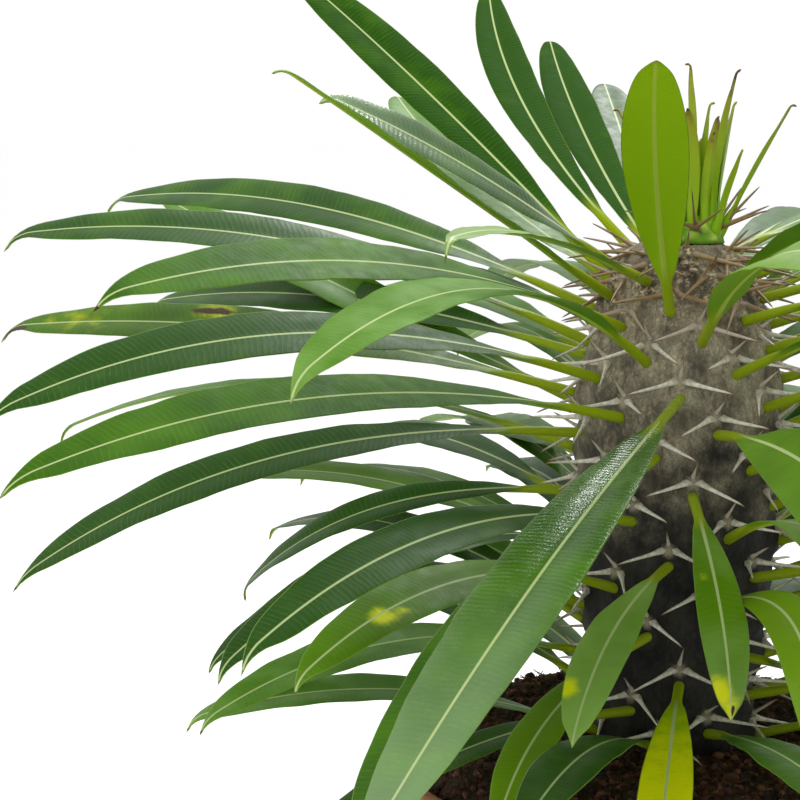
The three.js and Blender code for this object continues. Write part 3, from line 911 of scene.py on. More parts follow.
# Leaves that stand out from the usual habit, by place on the spiral.
OWN_HABITS: dict[int, Habit] = {
    35: Habit(-12, -30, 28, -2, 285, 0, 24),
    32: Habit(20, 10, 34, 15, 165, 42, 23),
    30: Habit(7, -13, 25, 0, 275, 0, 25),
    29: Habit(5, 15, 15, 18, 250, 10, 14),
    27: Habit(-17, -4, 36, 8, 290, 15, 31),
    24: Habit(24, 19, 26, 10, 264, 22, 16),
    22: Habit(10, -25, 20, 0, 280, 0, 31),
    21: Habit(-4, 14, 52, 15, 150, 0, 25),
    19: Habit(-12, -10, 23, 33, 276, 25, 31),
    17: Habit(8, 0, 28, 5, 255, 0, 30),
    16: Habit(0, -5, 20, 33, 275, 25, 31),
    13: Habit(-5, 5, 25, 35, 275, -25, 31),
    11: Habit(-5, -5, 25, 35, 270, 25, 31),
    8: Habit(-5, 0, 26, 52, 280, 8, 31),
    6: Habit(-10, -5, 12, 24, 272, 25, 31),
    3: Habit(-5, 0, 18, 43, 282, 25, 31),
    0: Habit(-14, -12, -8, 27, 322, 0, 34),
    -2: Habit(0, -5, 15, 22, 270, 25, 31),
    -5: Habit(-15, -5, 14, 34, 292, 20, 32),
    -7: Habit(5, -5, 20, 0, 275, 20, 31),
    -8: Habit(-5, -5, 8, 30, 270, -40, 34),
    -10: Habit(-5, 0, 5, 42, 265, 22, 27),
    -13: Habit(-9, -6, -8, 30, 268, 0, 32),
    -20: Habit(-25, -15, 0, 10, 255, 10, 30),
    -21: Habit(8, 2, -36, 46, 103, 0, 19),
    -23: Habit(-12, -15, 2, 52, 178, 20, 27),
    -26: Habit(-10, 3, 14, 40, 250, 20, 25),
    -28: Habit(-25, -10, 15, 40, 240, 10, 30),
    -29: Habit(-10, 0, 24, 80, 240, 0, 30),
    -31: Habit(12, 5, 12, 46, 212, 10, 26),
    -34: Habit(-21, 14, -10, 30, 125, 0, 21),
    -36: Habit(-15, 0, 22, 46, 228, 10, 27),
    -39: Habit(0, 2, 20, 50, 205, 20, 24),
    -42: Habit(23, -40, 29, 106, 140, -20, 20),
    -44: Habit(0, 0, 22, 68, 185, 15, 26),
    -47: Habit(-24, 34, -12, 16, 145, 0, 19),
    -49: Habit(-15, -10, 25, 50, 210, 10, 28),
    -50: Habit(4, 0, 6, 35, 205, 0, 27),
    -52: Habit(-5, 0, 20, 50, 205, 10, 27),
    -55: Habit(-7, 0, -5, 33, 165, 0, 20),
    -60: Habit(-22, 0, 4, 40, 190, 0, 26),
    -63: Habit(-6, 0, 16, 25, 190, 0, 27),
    -68: Habit(-8, 0, 25, 45, 180, 0, 26),
}


@dataclass(frozen=True)
class Station:
    """One point of a midrib: its place and frame, and the half sizes of the section there, mm."""

    point: Vector
    side: Vector
    over: Vector
    half: float
    rib: float
    share: float


@dataclass(frozen=True)
class LeafRule:
    """Shape rule of the strap leaves: a stalk, then a blade widest past its middle."""

    stalk: float = 0.12
    stalk_half: float = 2.3
    rib_half: float = 0.85
    droop_power: float = 1.3
    steps: int = 40
    usual_width: float = 31.0
    root_depth: float = 3.0
    rib_from: float = 0.3  # share of the length where the stalk has thinned to the rib
    rib_thinning: float = 0.45
    thinning_from: float = 0.5
    widest_power: float = 1.25  # above 1, the widest part lies past the middle
    fullness: float = 0.62  # below 1, the blade is fuller than a sine
    rolled_from: float = 0.35
    tip: float = 0.92
    tip_power: float = 1.25
    curl_from: float = 0.92
    curl_deg: float = 45.0
    # Middle and reach of the usual turn, bend, rise, droop, length and roll.
    usual: tuple[tuple[float, float], ...] = ((-3, 6), (0, 6), (20, 4), (40, 5), (272, 8), (0, 12))
    smaller_below: int = -12  # leaves below this place are smaller by the next two for each place
    shortening: float = 1.5
    narrowing: float = 0.07

    def habit(self, n: int) -> Habit:
        """Habit of a leaf: its own, or the usual one with seeded draws.

        Args:
            n: Place on the spiral.

        Returns:
            The habit.
        """
        if n in OWN_HABITS:
            return OWN_HABITS[n]
        lower = max(0, self.smaller_below - n)
        draws = [middle + spread(n, k, reach) for k, (middle, reach) in enumerate(self.usual, 1)]
        turn, bend, rise, droop, length, roll = draws
        width = self.usual_width - self.narrowing * lower
        return Habit(turn, bend, rise, droop, length - self.shortening * lower, roll, width)

    def half_width(self, t: float, width: float) -> float:
        """Half width of the leaf; the last part is drawn out into a slender tip.

        Args:
            t: Share of the length.
            width: Full width of the blade.

        Returns:
            Half of the width there.
        """
        if t <= self.stalk:
            return self.stalk_half
        if t > self.tip:
            return self.half_width(self.tip, width) * ((1 - t) / (1 - self.tip)) ** self.tip_power
        u = (t - self.stalk) / (1 - self.stalk)
        bulge = max(0.0, math.sin(math.pi * u ** self.widest_power)) ** self.fullness
        return self.stalk_half * (1 - u) + width / 2 * bulge

    def half_rib(self, t: float) -> float:
        """Half thickness at the midrib, from the round stalk to the thin tip."""
        body = lerp(self.stalk_half, self.rib_half, smoothstep(t, 0.0, self.rib_from))
        return body * (1 - self.rib_thinning * smoothstep(t, self.thinning_from, 1.0))

    def midrib(self, start: Vector, azimuth: float, habit: Habit, curl_deg: float) -> list[Station]:
        """Follows a leaf's midrib from its foot.

        Args:
            start: Foot of the leaf on the trunk's surface, metres.
            azimuth: Azimuth of the foot, radians.
            habit: How the leaf is held.
            curl_deg: Extra downward curl of the tip.

        Returns:
            Stations from just inside the trunk to the tip.
        """
        point = start.copy()
        stations: list[Station] = []
        for i in range(self.steps + 1):
            t = i / self.steps
            heading = azimuth + math.radians(habit.turn + habit.bend * t)
            curl = curl_deg * smoothstep(t, self.curl_from, 1.0)
            pitch = math.radians(habit.rise - habit.droop * t ** self.droop_power - curl)
            ahead = aim(heading, pitch)
            level = outward(heading + math.pi / 2)
            up = -level.cross(ahead)
            roll = math.radians(habit.roll) * smoothstep(t, 0.0, self.rolled_from)
            side = level * math.cos(roll) - up * math.sin(roll)
            over = up * math.cos(roll) + level * math.sin(roll)
            half, rib = self.half_width(t, habit.width), self.half_rib(t)
            if i == 0:
                stations.append(Station(point - ahead * self.root_depth * MM, side, over, half, rib, 0.0))
            stations.append(Station(point.copy(), side, over, half, rib, t))
            point += ahead * (habit.length * MM / self.steps)
        return stations


LEAF_RULE = LeafRule()


class BladeTree:
    """Geometry Nodes that sweep a leaf's closed section along its midrib."""

    @staticmethod
    def build() -> bpy.types.NodeTree:
        """Builds the tree.

        Returns:
            A tree that reads a midrib polyline with the attributes side, over, half, rib, full and share.
        """
        w, take = new_tree("leaf_blade", "Midrib", {
            "Rings": 60, "Columns": 29, "Length": 0.27, "Blade": 0.00032, "Fold": 0.1, "Arch": 0.16,
            "Wave": 0.0028, "Wave Length": 0.024, "Tone": 0.5, "Seed": 0.0})
        line = w.add("GeometryNodeMeshToCurve", take["Midrib"])
        line = w.add("GeometryNodeCurveSplineType", line, spline_type="CATMULL_ROM")
        grid = w.add("GeometryNodeMeshGrid", 1.0, 1.0, take["Rings"], take["Columns"])
        cell = w.add(SPLIT, grid.outputs["UV Map"])
        row, column = cell.outputs["X"], cell.outputs["Y"]

        # Rows stand closer together at both ends.
        eased = w.add(EASED, row, 0.0, 1.0)
        factor = w.add(BETWEEN, 0.5, row, eased)
        sampled = {}
        for source, names in ((TRIPLE, ("side", "over")), (NUMBER, ("half", "rib", "full", "share"))):
            for name in names:
                sampled[name] = w.add("GeometryNodeSampleCurve", mode="FACTOR", **source.settings, into={
                    "Curves": line, "Value": w.add(source, name), "Factor": factor})
        centre = sampled["side"].outputs["Position"]

        # The section: s runs across, crowded at the midrib; v is +1 on the upper side and -1 below.
        angle = w.add(TIMES, column, 2 * math.pi)
        c = w.add(MATH, angle, operation="COSINE")
        v = w.add(MATH, angle, operation="SINE")
        s = w.add(TIMES, c, w.add(SIZE, c))
        wide = w.add(SIZE, s)
        reach = w.add(BETWEEN, sampled["full"], c, s)
        x = w.add(TIMES, reach, sampled["half"])
        off = w.add(SIZE, x)

        # Blade: thin and round-edged, with the rib standing out mostly below.
        thin = w.add(TIMES, v, take["Blade"])
        near = w.add(POWER, w.add(DIVIDED, x, sampled["rib"]), 2.0)
        bell = w.add(MATH, w.add(TIMES, near, -1.0), operation="EXPONENT")
        keel = w.add(RANGE, v, -0.02, 0.02, -1.0, 0.22)
        ridge = w.add(TIMES_PLUS, w.add(TIMES, bell, sampled["rib"]), keel, thin)
        round_z = w.add(TIMES, sampled["rib"], v)
        z = w.add(BETWEEN, sampled["full"], round_z, ridge)

        # The two halves fold up slightly and arch between rib and margin.
        beyond = w.add(LARGER, w.add(MINUS, off, LEAF_RULE.stalk_half * MM), 0.0)
        z = w.add(TIMES_PLUS, beyond, take["Fold"], z)
        hump = w.add(TIMES, w.add(MINUS, 1.0, wide), off)
        lifted = w.add(TIMES, hump, sampled["full"])
        z = w.add(TIMES_PLUS, lifted, take["Arch"], z)

        # The margins wave a little, each side on its own.
        arc = w.add(TIMES, sampled["share"], take["Length"])
        turns = w.add(DIVIDED, arc, take["Wave Length"])
        ripple = w.add(NOISE, w.add(COMBINE, turns, w.add(MATH, s, operation="SIGN"), take["Seed"]),
                       into={"Scale": 1.0, "Detail": 1.0})
        swing = w.add(TIMES, w.add(MINUS, ripple.outputs[0], 0.5), take["Wave"])
        weight = w.add(TIMES, w.add(POWER, wide, 2.0), sampled["full"])
        z = w.add(TIMES_PLUS, swing, weight, z)

        # First and last rows draw together to a point, which closes both ends.
        inner = w.add(TIMES, w.add(MATH, row, 0.001, operation="GREATER_THAN"),
                      w.add(MATH, row, 0.999, operation="LESS_THAN"))
        x = w.add(TIMES, x, inner)
        z = w.add(TIMES, z, inner)
        aside = w.add(SCALED, into={"Vector": sampled["side"], "Scale": x})
        above = w.add(SCALED, into={"Vector": sampled["over"], "Scale": z})
        spot = w.add(MOVED, w.add(MOVED, centre, aside), above)
        mesh = w.add("GeometryNodeSetPosition", into={"Geometry": grid, "Position": spot})
        mesh = w.add(STORE, into={"Geometry": mesh, "Name": "leaf_place", "Value": w.add(COMBINE, x, arc, v)},
                     data_type="FLOAT_VECTOR")
        mesh = w.add(STORE, into={"Geometry": mesh, "Name": "leaf_share",
                                  "Value": w.add(COMBINE, s, sampled["share"], take["Tone"])},
                     data_type="FLOAT_VECTOR")
        mesh = w.add("GeometryNodeMergeByDistance", into={"Geometry": mesh, "Distance": 0.01 * MM})
        return close_tree(w, mesh, take["Material"])


@dataclass(frozen=True)
class LeafLook:
    """How one leaf differs from the others in looks."""

    tone: float | None = None  # 0 for a dark leaf, 1 for a light one, None for a seeded draw
    glow: float = 0.0  # share of painted light: the light-green colour of a leaf with light behind it
    shine: float = 0.0  # gloss above or below the usual one; above it, the leaf also gets a painted sheen on its outer part
    fold: float = 0.1  # upward slope of the two halves


# Leaves that stand out in looks, by place on the spiral.
LOOKS: dict[int, LeafLook] = {
    35: LeafLook(tone=0.1, shine=-1.0),
    32: LeafLook(tone=0.3, shine=0.8),
    30: LeafLook(tone=0.1, shine=-1.0),
    29: LeafLook(glow=0.3),
    27: LeafLook(tone=0.2, shine=-1.0),
    24: LeafLook(glow=0.4),
    21: LeafLook(glow=0.95),
    19: LeafLook(tone=0.3),
    16: LeafLook(tone=0.5, shine=-0.5),
    13: LeafLook(tone=0.8, glow=0.3),
    11: LeafLook(tone=0.25),
    8: LeafLook(tone=1.05, shine=-0.6),
    6: LeafLook(tone=0.2),
    3: LeafLook(tone=0.15, shine=-0.3),
    0: LeafLook(tone=0.45, shine=1.0, fold=0.18),
    -2: LeafLook(tone=0.35, glow=0.1),
    -5: LeafLook(tone=0.5, shine=-0.6),
    -8: LeafLook(tone=0.7, glow=0.15),
    -10: LeafLook(tone=0.15),
    -13: LeafLook(tone=0.5),
    -21: LeafLook(tone=0.95, glow=0.15, shine=0.5),
    -23: LeafLook(tone=0.1),
    -26: LeafLook(tone=0.15),
    -29: LeafLook(tone=0.8, glow=0.35),
    -34: LeafLook(tone=1.4, glow=0.2),
    -36: LeafLook(tone=0.7, glow=0.2),
    -39: LeafLook(tone=0.7, glow=0.15),
    -42: LeafLook(tone=0.8, glow=0.45),
    -47: LeafLook(tone=0.6, glow=0.35),
    -55: LeafLook(tone=1.0, glow=1.0, shine=-1.0),
}


@dataclass(frozen=True)
class Mark:
    """A yellowed or browned place on one leaf, centred at shares across (-1 to 1) and along (0 to 1)."""

    across: float
    along: float
    reach_mm: float
    yellow: float = 0.0
    brown: float = 0.0


@dataclass
class LeafMaker:
    """Makes fine leaves from habits."""

    finish: Finish
    rings: int = 60
    columns: int = 29
    # Half widths, in rib heights, at which the round stalk begins to flatten and the blade is full.
    flattening: tuple[float, float] = (1.02, 2.6)
    flat_from: float = 0.9  # past this share of the length, the section stays flat
    brown_tip: tuple[float, float, float] = (0.975, 0.995, 0.5)  # from, to, and share of the browning
    brown_foot: tuple[float, float] = (0.012, 0.4)  # reach and share of the browning
    tree: bpy.types.NodeTree = field(default_factory=BladeTree.build)

    def make(self, name: str, stations: Sequence[Station], habit: Habit, n: int, marks: Sequence[Mark] = (),
             **values: float) -> bpy.types.Object:
        """Sweeps one leaf and stores its wear and its painted glow.

        Args:
            name: Name of the piece.
            stations: Midrib with its frames and half sizes.
            habit: How the leaf is held.
            n: Place on the spiral, which seeds its draws.
            marks: Yellowed or browned places.
            values: Further inputs of the tree by name, with underscores for spaces.

        Returns:
            The leaf.
        """
        line = bpy.data.meshes.new(name)
        line.from_pydata([s.point for s in stations], [(i, i + 1) for i in range(len(stations) - 1)], [])
        set_attribute(line, "side", [s.side for s in stations])
        set_attribute(line, "over", [s.over for s in stations])
        set_attribute(line, "half", [s.half * MM for s in stations])
        set_attribute(line, "rib", [s.rib * MM for s in stations])
        low, high = self.flattening
        full = [smoothstep(s.half, s.rib * low, s.rib * high) if s.share < self.flat_from else 1.0
                for s in stations]
        set_attribute(line, "full", full)
        set_attribute(line, "share", [s.share for s in stations])
        look = LOOKS.get(n, LeafLook())
        inputs = {"Rings": self.rings, "Columns": self.columns, "Length": habit.length * MM,
                  "Tone": draw(n, 31) if look.tone is None else look.tone, "Fold": look.fold, "Seed": 3.7 * n,
                  "Material": self.finish.material()}
        inputs.update({key.replace("_", " "): value for key, value in values.items()})
        leaf = grown(name, line, self.tree, inputs)
        self.wear_and_glow(leaf, habit, marks, look.glow)
        set_attribute(leaf.data, "leaf_shine", [look.shine] * len(leaf.data.vertices))
        return leaf

    def wear_and_glow(self, leaf: bpy.types.Object, habit: Habit, marks: Sequence[Mark], glow: float) -> None:
        """Stores yellowing, browning and painted glow for each vertex; every leaf's drawn-out tip is brown.

        Args:
            leaf: The leaf.
            habit: How it is held.
            marks: Its yellowed or browned places.
            glow: Share of the painted colour of a leaf with light behind it.
        """
        shares = [v.vector for v in leaf.data.attributes["leaf_share"].data]
        worn_and_glow = []
        start, end, tip = self.brown_tip
        reach, foot = self.brown_foot
        for share in shares:
            yellow = 0.0
            brown = smoothstep(share.y, start, end) * tip + foot * smoothstep(-share.y, -reach, 0.0)
            for mark in marks:
                dy = (share.y - mark.along) * habit.length
                dx = (share.x - mark.across) * habit.width / 2
                near = math.exp(-(dx * dx + dy * dy) / mark.reach_mm ** 2)
                yellow = max(yellow, mark.yellow * near)
                brown = max(brown, mark.brown * near)
            worn_and_glow.append((yellow, brown, glow))
        set_attribute(leaf.data, "leaf_wear_and_glow", worn_and_glow)


# ---- Sub-assemblies --------------------------------------------------------------------


@dataclass
class Pot:
    """Plain round clay pot with a rolled rim, mm."""

    height: float = 190
    rim_radius: float = 132
    rim_height: float = 26
    rim_step: float = 5
    foot_radius: float = 96
    wall: float = 7
    base: float = 9
    steps: int = 144
    finish: FiredClay = field(default_factory=FiredClay)

    def outer(self, z: float) -> float:
        """Outer radius of the tapered wall at a height."""
        return lerp(self.foot_radius, self.rim_radius - self.rim_step, z / (self.height - self.rim_height))

    def inner(self, z: float) -> float:
        """Inner radius at a height."""
        return min(self.outer(z), self.rim_radius) - self.wall

    def outline(self) -> list[tuple[float, float]]:
        """Outline of the pot, with its rim and foot rounded.

        Returns:
            Corners as radius and height, from the foot's middle over the rim to the middle of the inside.
        """
        under = self.height - self.rim_height
        rim, top = self.rim_radius, self.height
        corners = [(0.0, 0.0), (self.foot_radius - 8, 0.0), (self.foot_radius - 2, 0.0)]
        corners += [(self.foot_radius - 0.6, 0.5), (self.foot_radius, 2.0)]
        corners += [(self.outer(z), z) for z in (40.0, 80.0, 120.0, under - 1.5)]
        corners += [(self.outer(under) + 1.2, under + 0.3), (rim - 1.5, under + 0.8)]
        corners += [(rim - 0.3, under + 2.2), (rim, under + 4.5), (rim, top - 5.0)]
        corners += [(rim - 0.5, top - 2.2), (rim - 2.0, top - 0.5), (rim - 3.5, top)]
        inside = self.inner(top)
        corners += [(inside + 1.6, top), (inside + 0.3, top - 0.6), (inside, top - 2.0)]
        corners += [(self.inner(z), z) for z in (120.0, 60.0, self.base + 2)]
        return [*corners, (self.inner(self.base) - 2, self.base), (0.0, self.base)]

    def build(self) -> bpy.types.Object:
        """Builds and dresses the pot.

        Returns:
            The piece.
        """
        piece = lathe("pot_fired", self.outline(), self.steps)
        self.finish.dress(piece)
        return place(piece, Slot.POT, "pot")


class CrumbTree:
    """Geometry Nodes that scatter one small shape over the crumbly part of the soil."""

    @staticmethod
    def build(fibre: bool) -> bpy.types.NodeTree:
        """Builds the tree.

        Args:
            fibre: True for thin bent fibres, False for crumbs.

        Returns:
            The tree.
        """
        w, take = new_tree("soil_fibres" if fibre else "soil_crumbs", "Ground", {
            "Density": 50000.0, "Smallest": 0.0006, "Largest": 0.0024, "Facets": 1, "Lumpiness": 1.0,
            "Seed": 5})
        loose = w.add(NUMBER, "crumbly")
        points = w.add("GeometryNodeDistributePointsOnFaces", into={
            "Mesh": take["Ground"], "Density": w.add(TIMES, take["Density"], loose),
            "Seed": take["Seed"]}, distribute_method="RANDOM")
        if fibre:
            line = w.add("GeometryNodeCurvePrimitiveLine", (-1.0, 0.0, 0.0), (1.0, 0.0, 0.0))
            line = w.add("GeometryNodeResampleCurve", into={"Curve": line, "Count": 6})
            bow = w.add(NOISE, w.add("GeometryNodeInputPosition"), into={"Scale": 1.3})
            line = w.add("GeometryNodeSetPosition", into={
                "Geometry": line,
                "Offset": w.add(STRETCHED, w.add(MOVED_BACK, bow.outputs[1], (0.5, 0.5, 0.35)),
                                (0.6, 1.6, 1.0))})
            thread = w.add("GeometryNodeCurvePrimitiveCircle", 3, into={"Radius": 0.05})
            shape = w.add("GeometryNodeCurveToMesh", into={
                "Curve": line, "Profile Curve": thread, "Fill Caps": True})
        else:
            shape = w.add("GeometryNodeMeshIcoSphere", 1.0, take["Facets"])
            lump = w.add(NOISE, w.add("GeometryNodeInputPosition"), into={"Scale": 1.1, "Detail": 4.0})
            swell = w.add(MOVED_BACK, lump.outputs[1], (0.5, 0.5, 0.5))
            swell = w.add(SCALED, into={"Vector": swell, "Scale": take["Lumpiness"]})
            shape = w.add("GeometryNodeSetPosition", into={"Geometry": shape, "Offset": swell})
        low, high = ((-0.5, -0.5, 0.0), (0.5, 0.5, 6.28)) if fibre else ((0.0, 0.0, 0.0), (6.28, 6.28, 6.28))
        seed = {"Seed": take["Seed"]}
        least, most = take["Smallest"], take["Largest"]
        turn = w.add("FunctionNodeRandomValue", low, high, into=seed, data_type="FLOAT_VECTOR")
        size = w.add("FunctionNodeRandomValue", least, most, into=seed, data_type="FLOAT")
        tone = w.add("FunctionNodeRandomValue", -0.4, 1.0, into={"Seed": 11}, data_type="FLOAT")
        copies = w.add("GeometryNodeInstanceOnPoints", into={
            "Points": points, "Instance": shape, "Rotation": turn, "Scale": size})
        copies = w.add(STORE, data_type="FLOAT", domain="INSTANCE", into={
            "Geometry": copies, "Name": "crumb_tone", "Value": tone})
        return close_tree(w, copies, take["Material"])


@dataclass(frozen=True)
class Litter:
    """Loose parts of one kind that lie on the soil: number on a square metre and radii in mm."""

    name: str
    fibre: bool
    density: float
    smallest: float
    largest: float
    facets: int = 1
    lumpiness: float = 1.0
    seed: int = 5


@dataclass
class Soil:
    """Mounded coir soil round the trunk, with loose crumbs and fibres, mm."""

    pot: Pot
    gap: float = 0.3
    shoulder_radius: float = 112
    shoulder_drop: float = 2
    slope: tuple[float, float] = (6, 5)  # run and fall just past the shoulder
    edge_drop: float = 19
    lump: float = 1.2
    hole_depth: float = 60
    row: float = 1.5  # length of a face where the soil shows
    steps: int = 320
    relief: float = 2.0
    coarse_size: float = 16.0
    small_size: float = 4.5
    small_share: float = 0.8
    relief_middle: float = 0.5
    shown_above: tuple[float, float] = (178, 186)  # heights between which the relief sets in
    trunk_reach: tuple[float, float] = (36, 40)  # radii between which it sets in
    wall_reach: tuple[float, float] = (112, 121)  # radii between which it fades to the share at the wall
    wall_share: float = 0.35
    litters: tuple[Litter, ...] = (
        Litter("soil_crumbs", False, 76000.0, 0.5, 2.1),
        Litter("soil_lumps", False, 2600.0, 1.8, 4.2, facets=2, lumpiness=1.7, seed=9),
        Litter("soil_fibres", True, 24000.0, 2.0, 7.0),
    )
    finish: Coir = field(default_factory=Coir)

    def outline(self) -> list[tuple[float, float]]:
        """Outline of the soil body, with many points where it shows.

        Returns:
            Corners as radius and height, from the middle below to the foot of the trunk's hole.
        """
        edge = SOIL_LEVEL - self.edge_drop
        shoulder = SOIL_LEVEL - self.shoulder_drop
        bottom = self.pot.base + self.gap
        trunk = TRUNK.radius(0.0)
        run, fall = self.slope
        shown = [
            (self.pot.inner(edge) - self.gap, edge),
            (self.shoulder_radius + run, shoulder - fall),
            (self.shoulder_radius, shoulder),
            (lerp(trunk, self.shoulder_radius, 0.7), SOIL_LEVEL + self.lump),
            (lerp(trunk, self.shoulder_radius, 0.35), SOIL_LEVEL - self.lump),
            (trunk + self.gap, SOIL_LEVEL),
        ]
        fine = []
        for (r0, z0), (r1, z1) in zip(shown, shown[1:]):
            count = max(1, round(math.hypot(r1 - r0, z1 - z0) / self.row))
            fine += [(lerp(r0, r1, i / count), lerp(z0, z1, i / count)) for i in range(count)]
        hole = [(TRUNK.radius(z) + self.gap, SOIL_LEVEL + z) for z in (0.0, -self.hole_depth / 2)]
        floor = SOIL_LEVEL - self.hole_depth - self.gap
        return [(0.0, bottom), (self.pot.inner(bottom) - self.gap, bottom), *fine, *hole,
                (TRUNK.radius(-self.hole_depth) + self.gap, floor), (0.0, floor)]

    def bed(self) -> bpy.types.Object:
        """Builds the soil body with its relief.

        Returns:
            The body, with the attribute crumbly where loose parts may lie.
        """
        body = lathe("soil_coir_bed", self.outline(), self.steps)
        crumbly = []
        for vertex in body.data.vertices:
            p = vertex.co / MM
            radius = math.hypot(p.x, p.y)
            shown = smoothstep(p.z, *self.shown_above) * smoothstep(radius, *self.trunk_reach)
            coarse = noise.fractal(p / self.coarse_size, 1.0, 2.0, 3)
            small = noise.fractal(p / self.small_size + Vector((7, 3, 1)), 1.0, 2.0, 3)
            near_wall = 1 - smoothstep(radius, *self.wall_reach)
            lump = coarse * self.relief + small * self.relief * self.small_share
            rise = (lump - self.relief_middle) * shown
            vertex.co.z += rise * MM * lerp(self.wall_share, 1.0, near_wall)
            crumbly.append(shown)
        set_attribute(body.data, "crumbly", crumbly)
        set_attribute(body.data, "crumb_tone", [0.0] * len(crumbly))
        self.finish.dress(body)
        return body

    def build(self) -> list[bpy.types.Object]:
        """Builds the soil body and its litter.

        Returns:
            The pieces.
        """
        body = self.bed()
        made = [place(body, Slot.SOIL, "soil")]
        for litter in self.litters:
            piece = grown(litter.name, body.data.copy(), CrumbTree.build(litter.fibre), {
                "Density": litter.density, "Smallest": litter.smallest * MM, "Largest": litter.largest * MM,
                "Facets": litter.facets, "Lumpiness": litter.lumpiness, "Seed": litter.seed,
                "Material": self.finish.material()})
            made.append(place(piece, Slot.SOIL, "soil"))
        return made


class SpineTree:
    """Geometry Nodes that set one tapered, slightly bent spine on each root point."""

    @staticmethod
    def build() -> bpy.types.NodeTree:
        """Builds the tree.

        Returns:
            A tree that reads points with the attributes aim, length, girth and spine_youth.
        """
        w, take = new_tree("spines", "Roots", {"Rings": 9, "Sides": 7, "Bend": 0.05})
        line = w.add("GeometryNodeCurvePrimitiveLine", (0.0, 0.0, 0.0), (0.0, 0.0, 1.0))
        line = w.add("GeometryNodeResampleCurve", into={"Curve": line, "Count": take["Rings"]})
        t = w.add("GeometryNodeSplineParameter").outputs["Factor"]
        line = w.add(STORE, into={"Geometry": line, "Name": "t", "Value": t}, data_type="FLOAT")
        t = w.add(NUMBER, "t")
        crowded = w.add(POWER, t, 1.5)
        bowed = w.add(TIMES, w.add(POWER, crowded, 2.0), take["Bend"])
        spot = w.add(COMBINE, bowed, 0.0, crowded)
        line = w.add("GeometryNodeSetPosition", into={"Geometry": line, "Position": spot})
        line = w.add(STORE, data_type="FLOAT", into={
            "Geometry": line, "Name": "spine_share", "Value": crowded})

        # Radius: a flared foot, a shaft that thins slowly, a sharp tip.
        flare = w.add(MATH, w.add(TIMES, crowded, -14.0), operation="EXPONENT")
        shaft = w.add(POWER, w.add(MINUS, 1.02, crowded), 0.85)
        radius = w.add(TIMES_PLUS, flare, 1.3, w.add(TIMES, shaft, 0.8))
        ring = w.add("GeometryNodeCurvePrimitiveCircle", take["Sides"], into={"Radius": 1.0})
        spine = w.add("GeometryNodeCurveToMesh", into={
            "Curve": line, "Profile Curve": ring, "Scale": radius, "Fill Caps": True})
        heading = w.add("FunctionNodeAxesToRotation", w.add(TRIPLE, "aim"), (0.0, 0.0, 1.0),
                        primary_axis="Z", secondary_axis="X")
        girth = w.add(NUMBER, "girth")
        size = w.add(COMBINE, girth, girth, w.add(NUMBER, "length"))
        copies = w.add("GeometryNodeInstanceOnPoints", into={
            "Points": take["Roots"], "Instance": spine, "Rotation": heading, "Scale": size})
        return close_tree(w, copies, take["Material"])


@dataclass(frozen=True)
class Spine:
    """One spine: its root in metres, its unit direction, and its length and root radius in mm."""

    root: Vector
    direction: Vector
    length: float
    girth: float
    youth: float


@dataclass
class SpineMaker:
    """Makes one piece from many spines."""

    sink: float = 1.6
    rings: int = 9
    sides: int = 7
    bend: float = -0.9  # how far a tip bows, in root radii
    finish: SpineHorn = field(default_factory=SpineHorn)
    tree: bpy.types.NodeTree = field(default_factory=SpineTree.build)

    def make(self, name: str, spines: Sequence[Spine]) -> bpy.types.Object:
        """Sets all spines.

        Args:
            name: Name of the piece.
            spines: The spines.

        Returns:
            All of them as one mesh object.
        """
        roots = bpy.data.meshes.new(name)
        roots.from_pydata([s.root - s.direction * self.sink * MM for s in spines], [], [])
        set_attribute(roots, "aim", [s.direction for s in spines])
        set_attribute(roots, "length", [(s.length + self.sink) * MM for s in spines])
        set_attribute(roots, "girth", [s.girth * MM for s in spines])
        set_attribute(roots, "spine_youth", [s.youth for s in spines])
        return grown(name, roots, self.tree, {
            "Rings": self.rings, "Sides": self.sides, "Bend": self.bend, "Material": self.finish.material()})


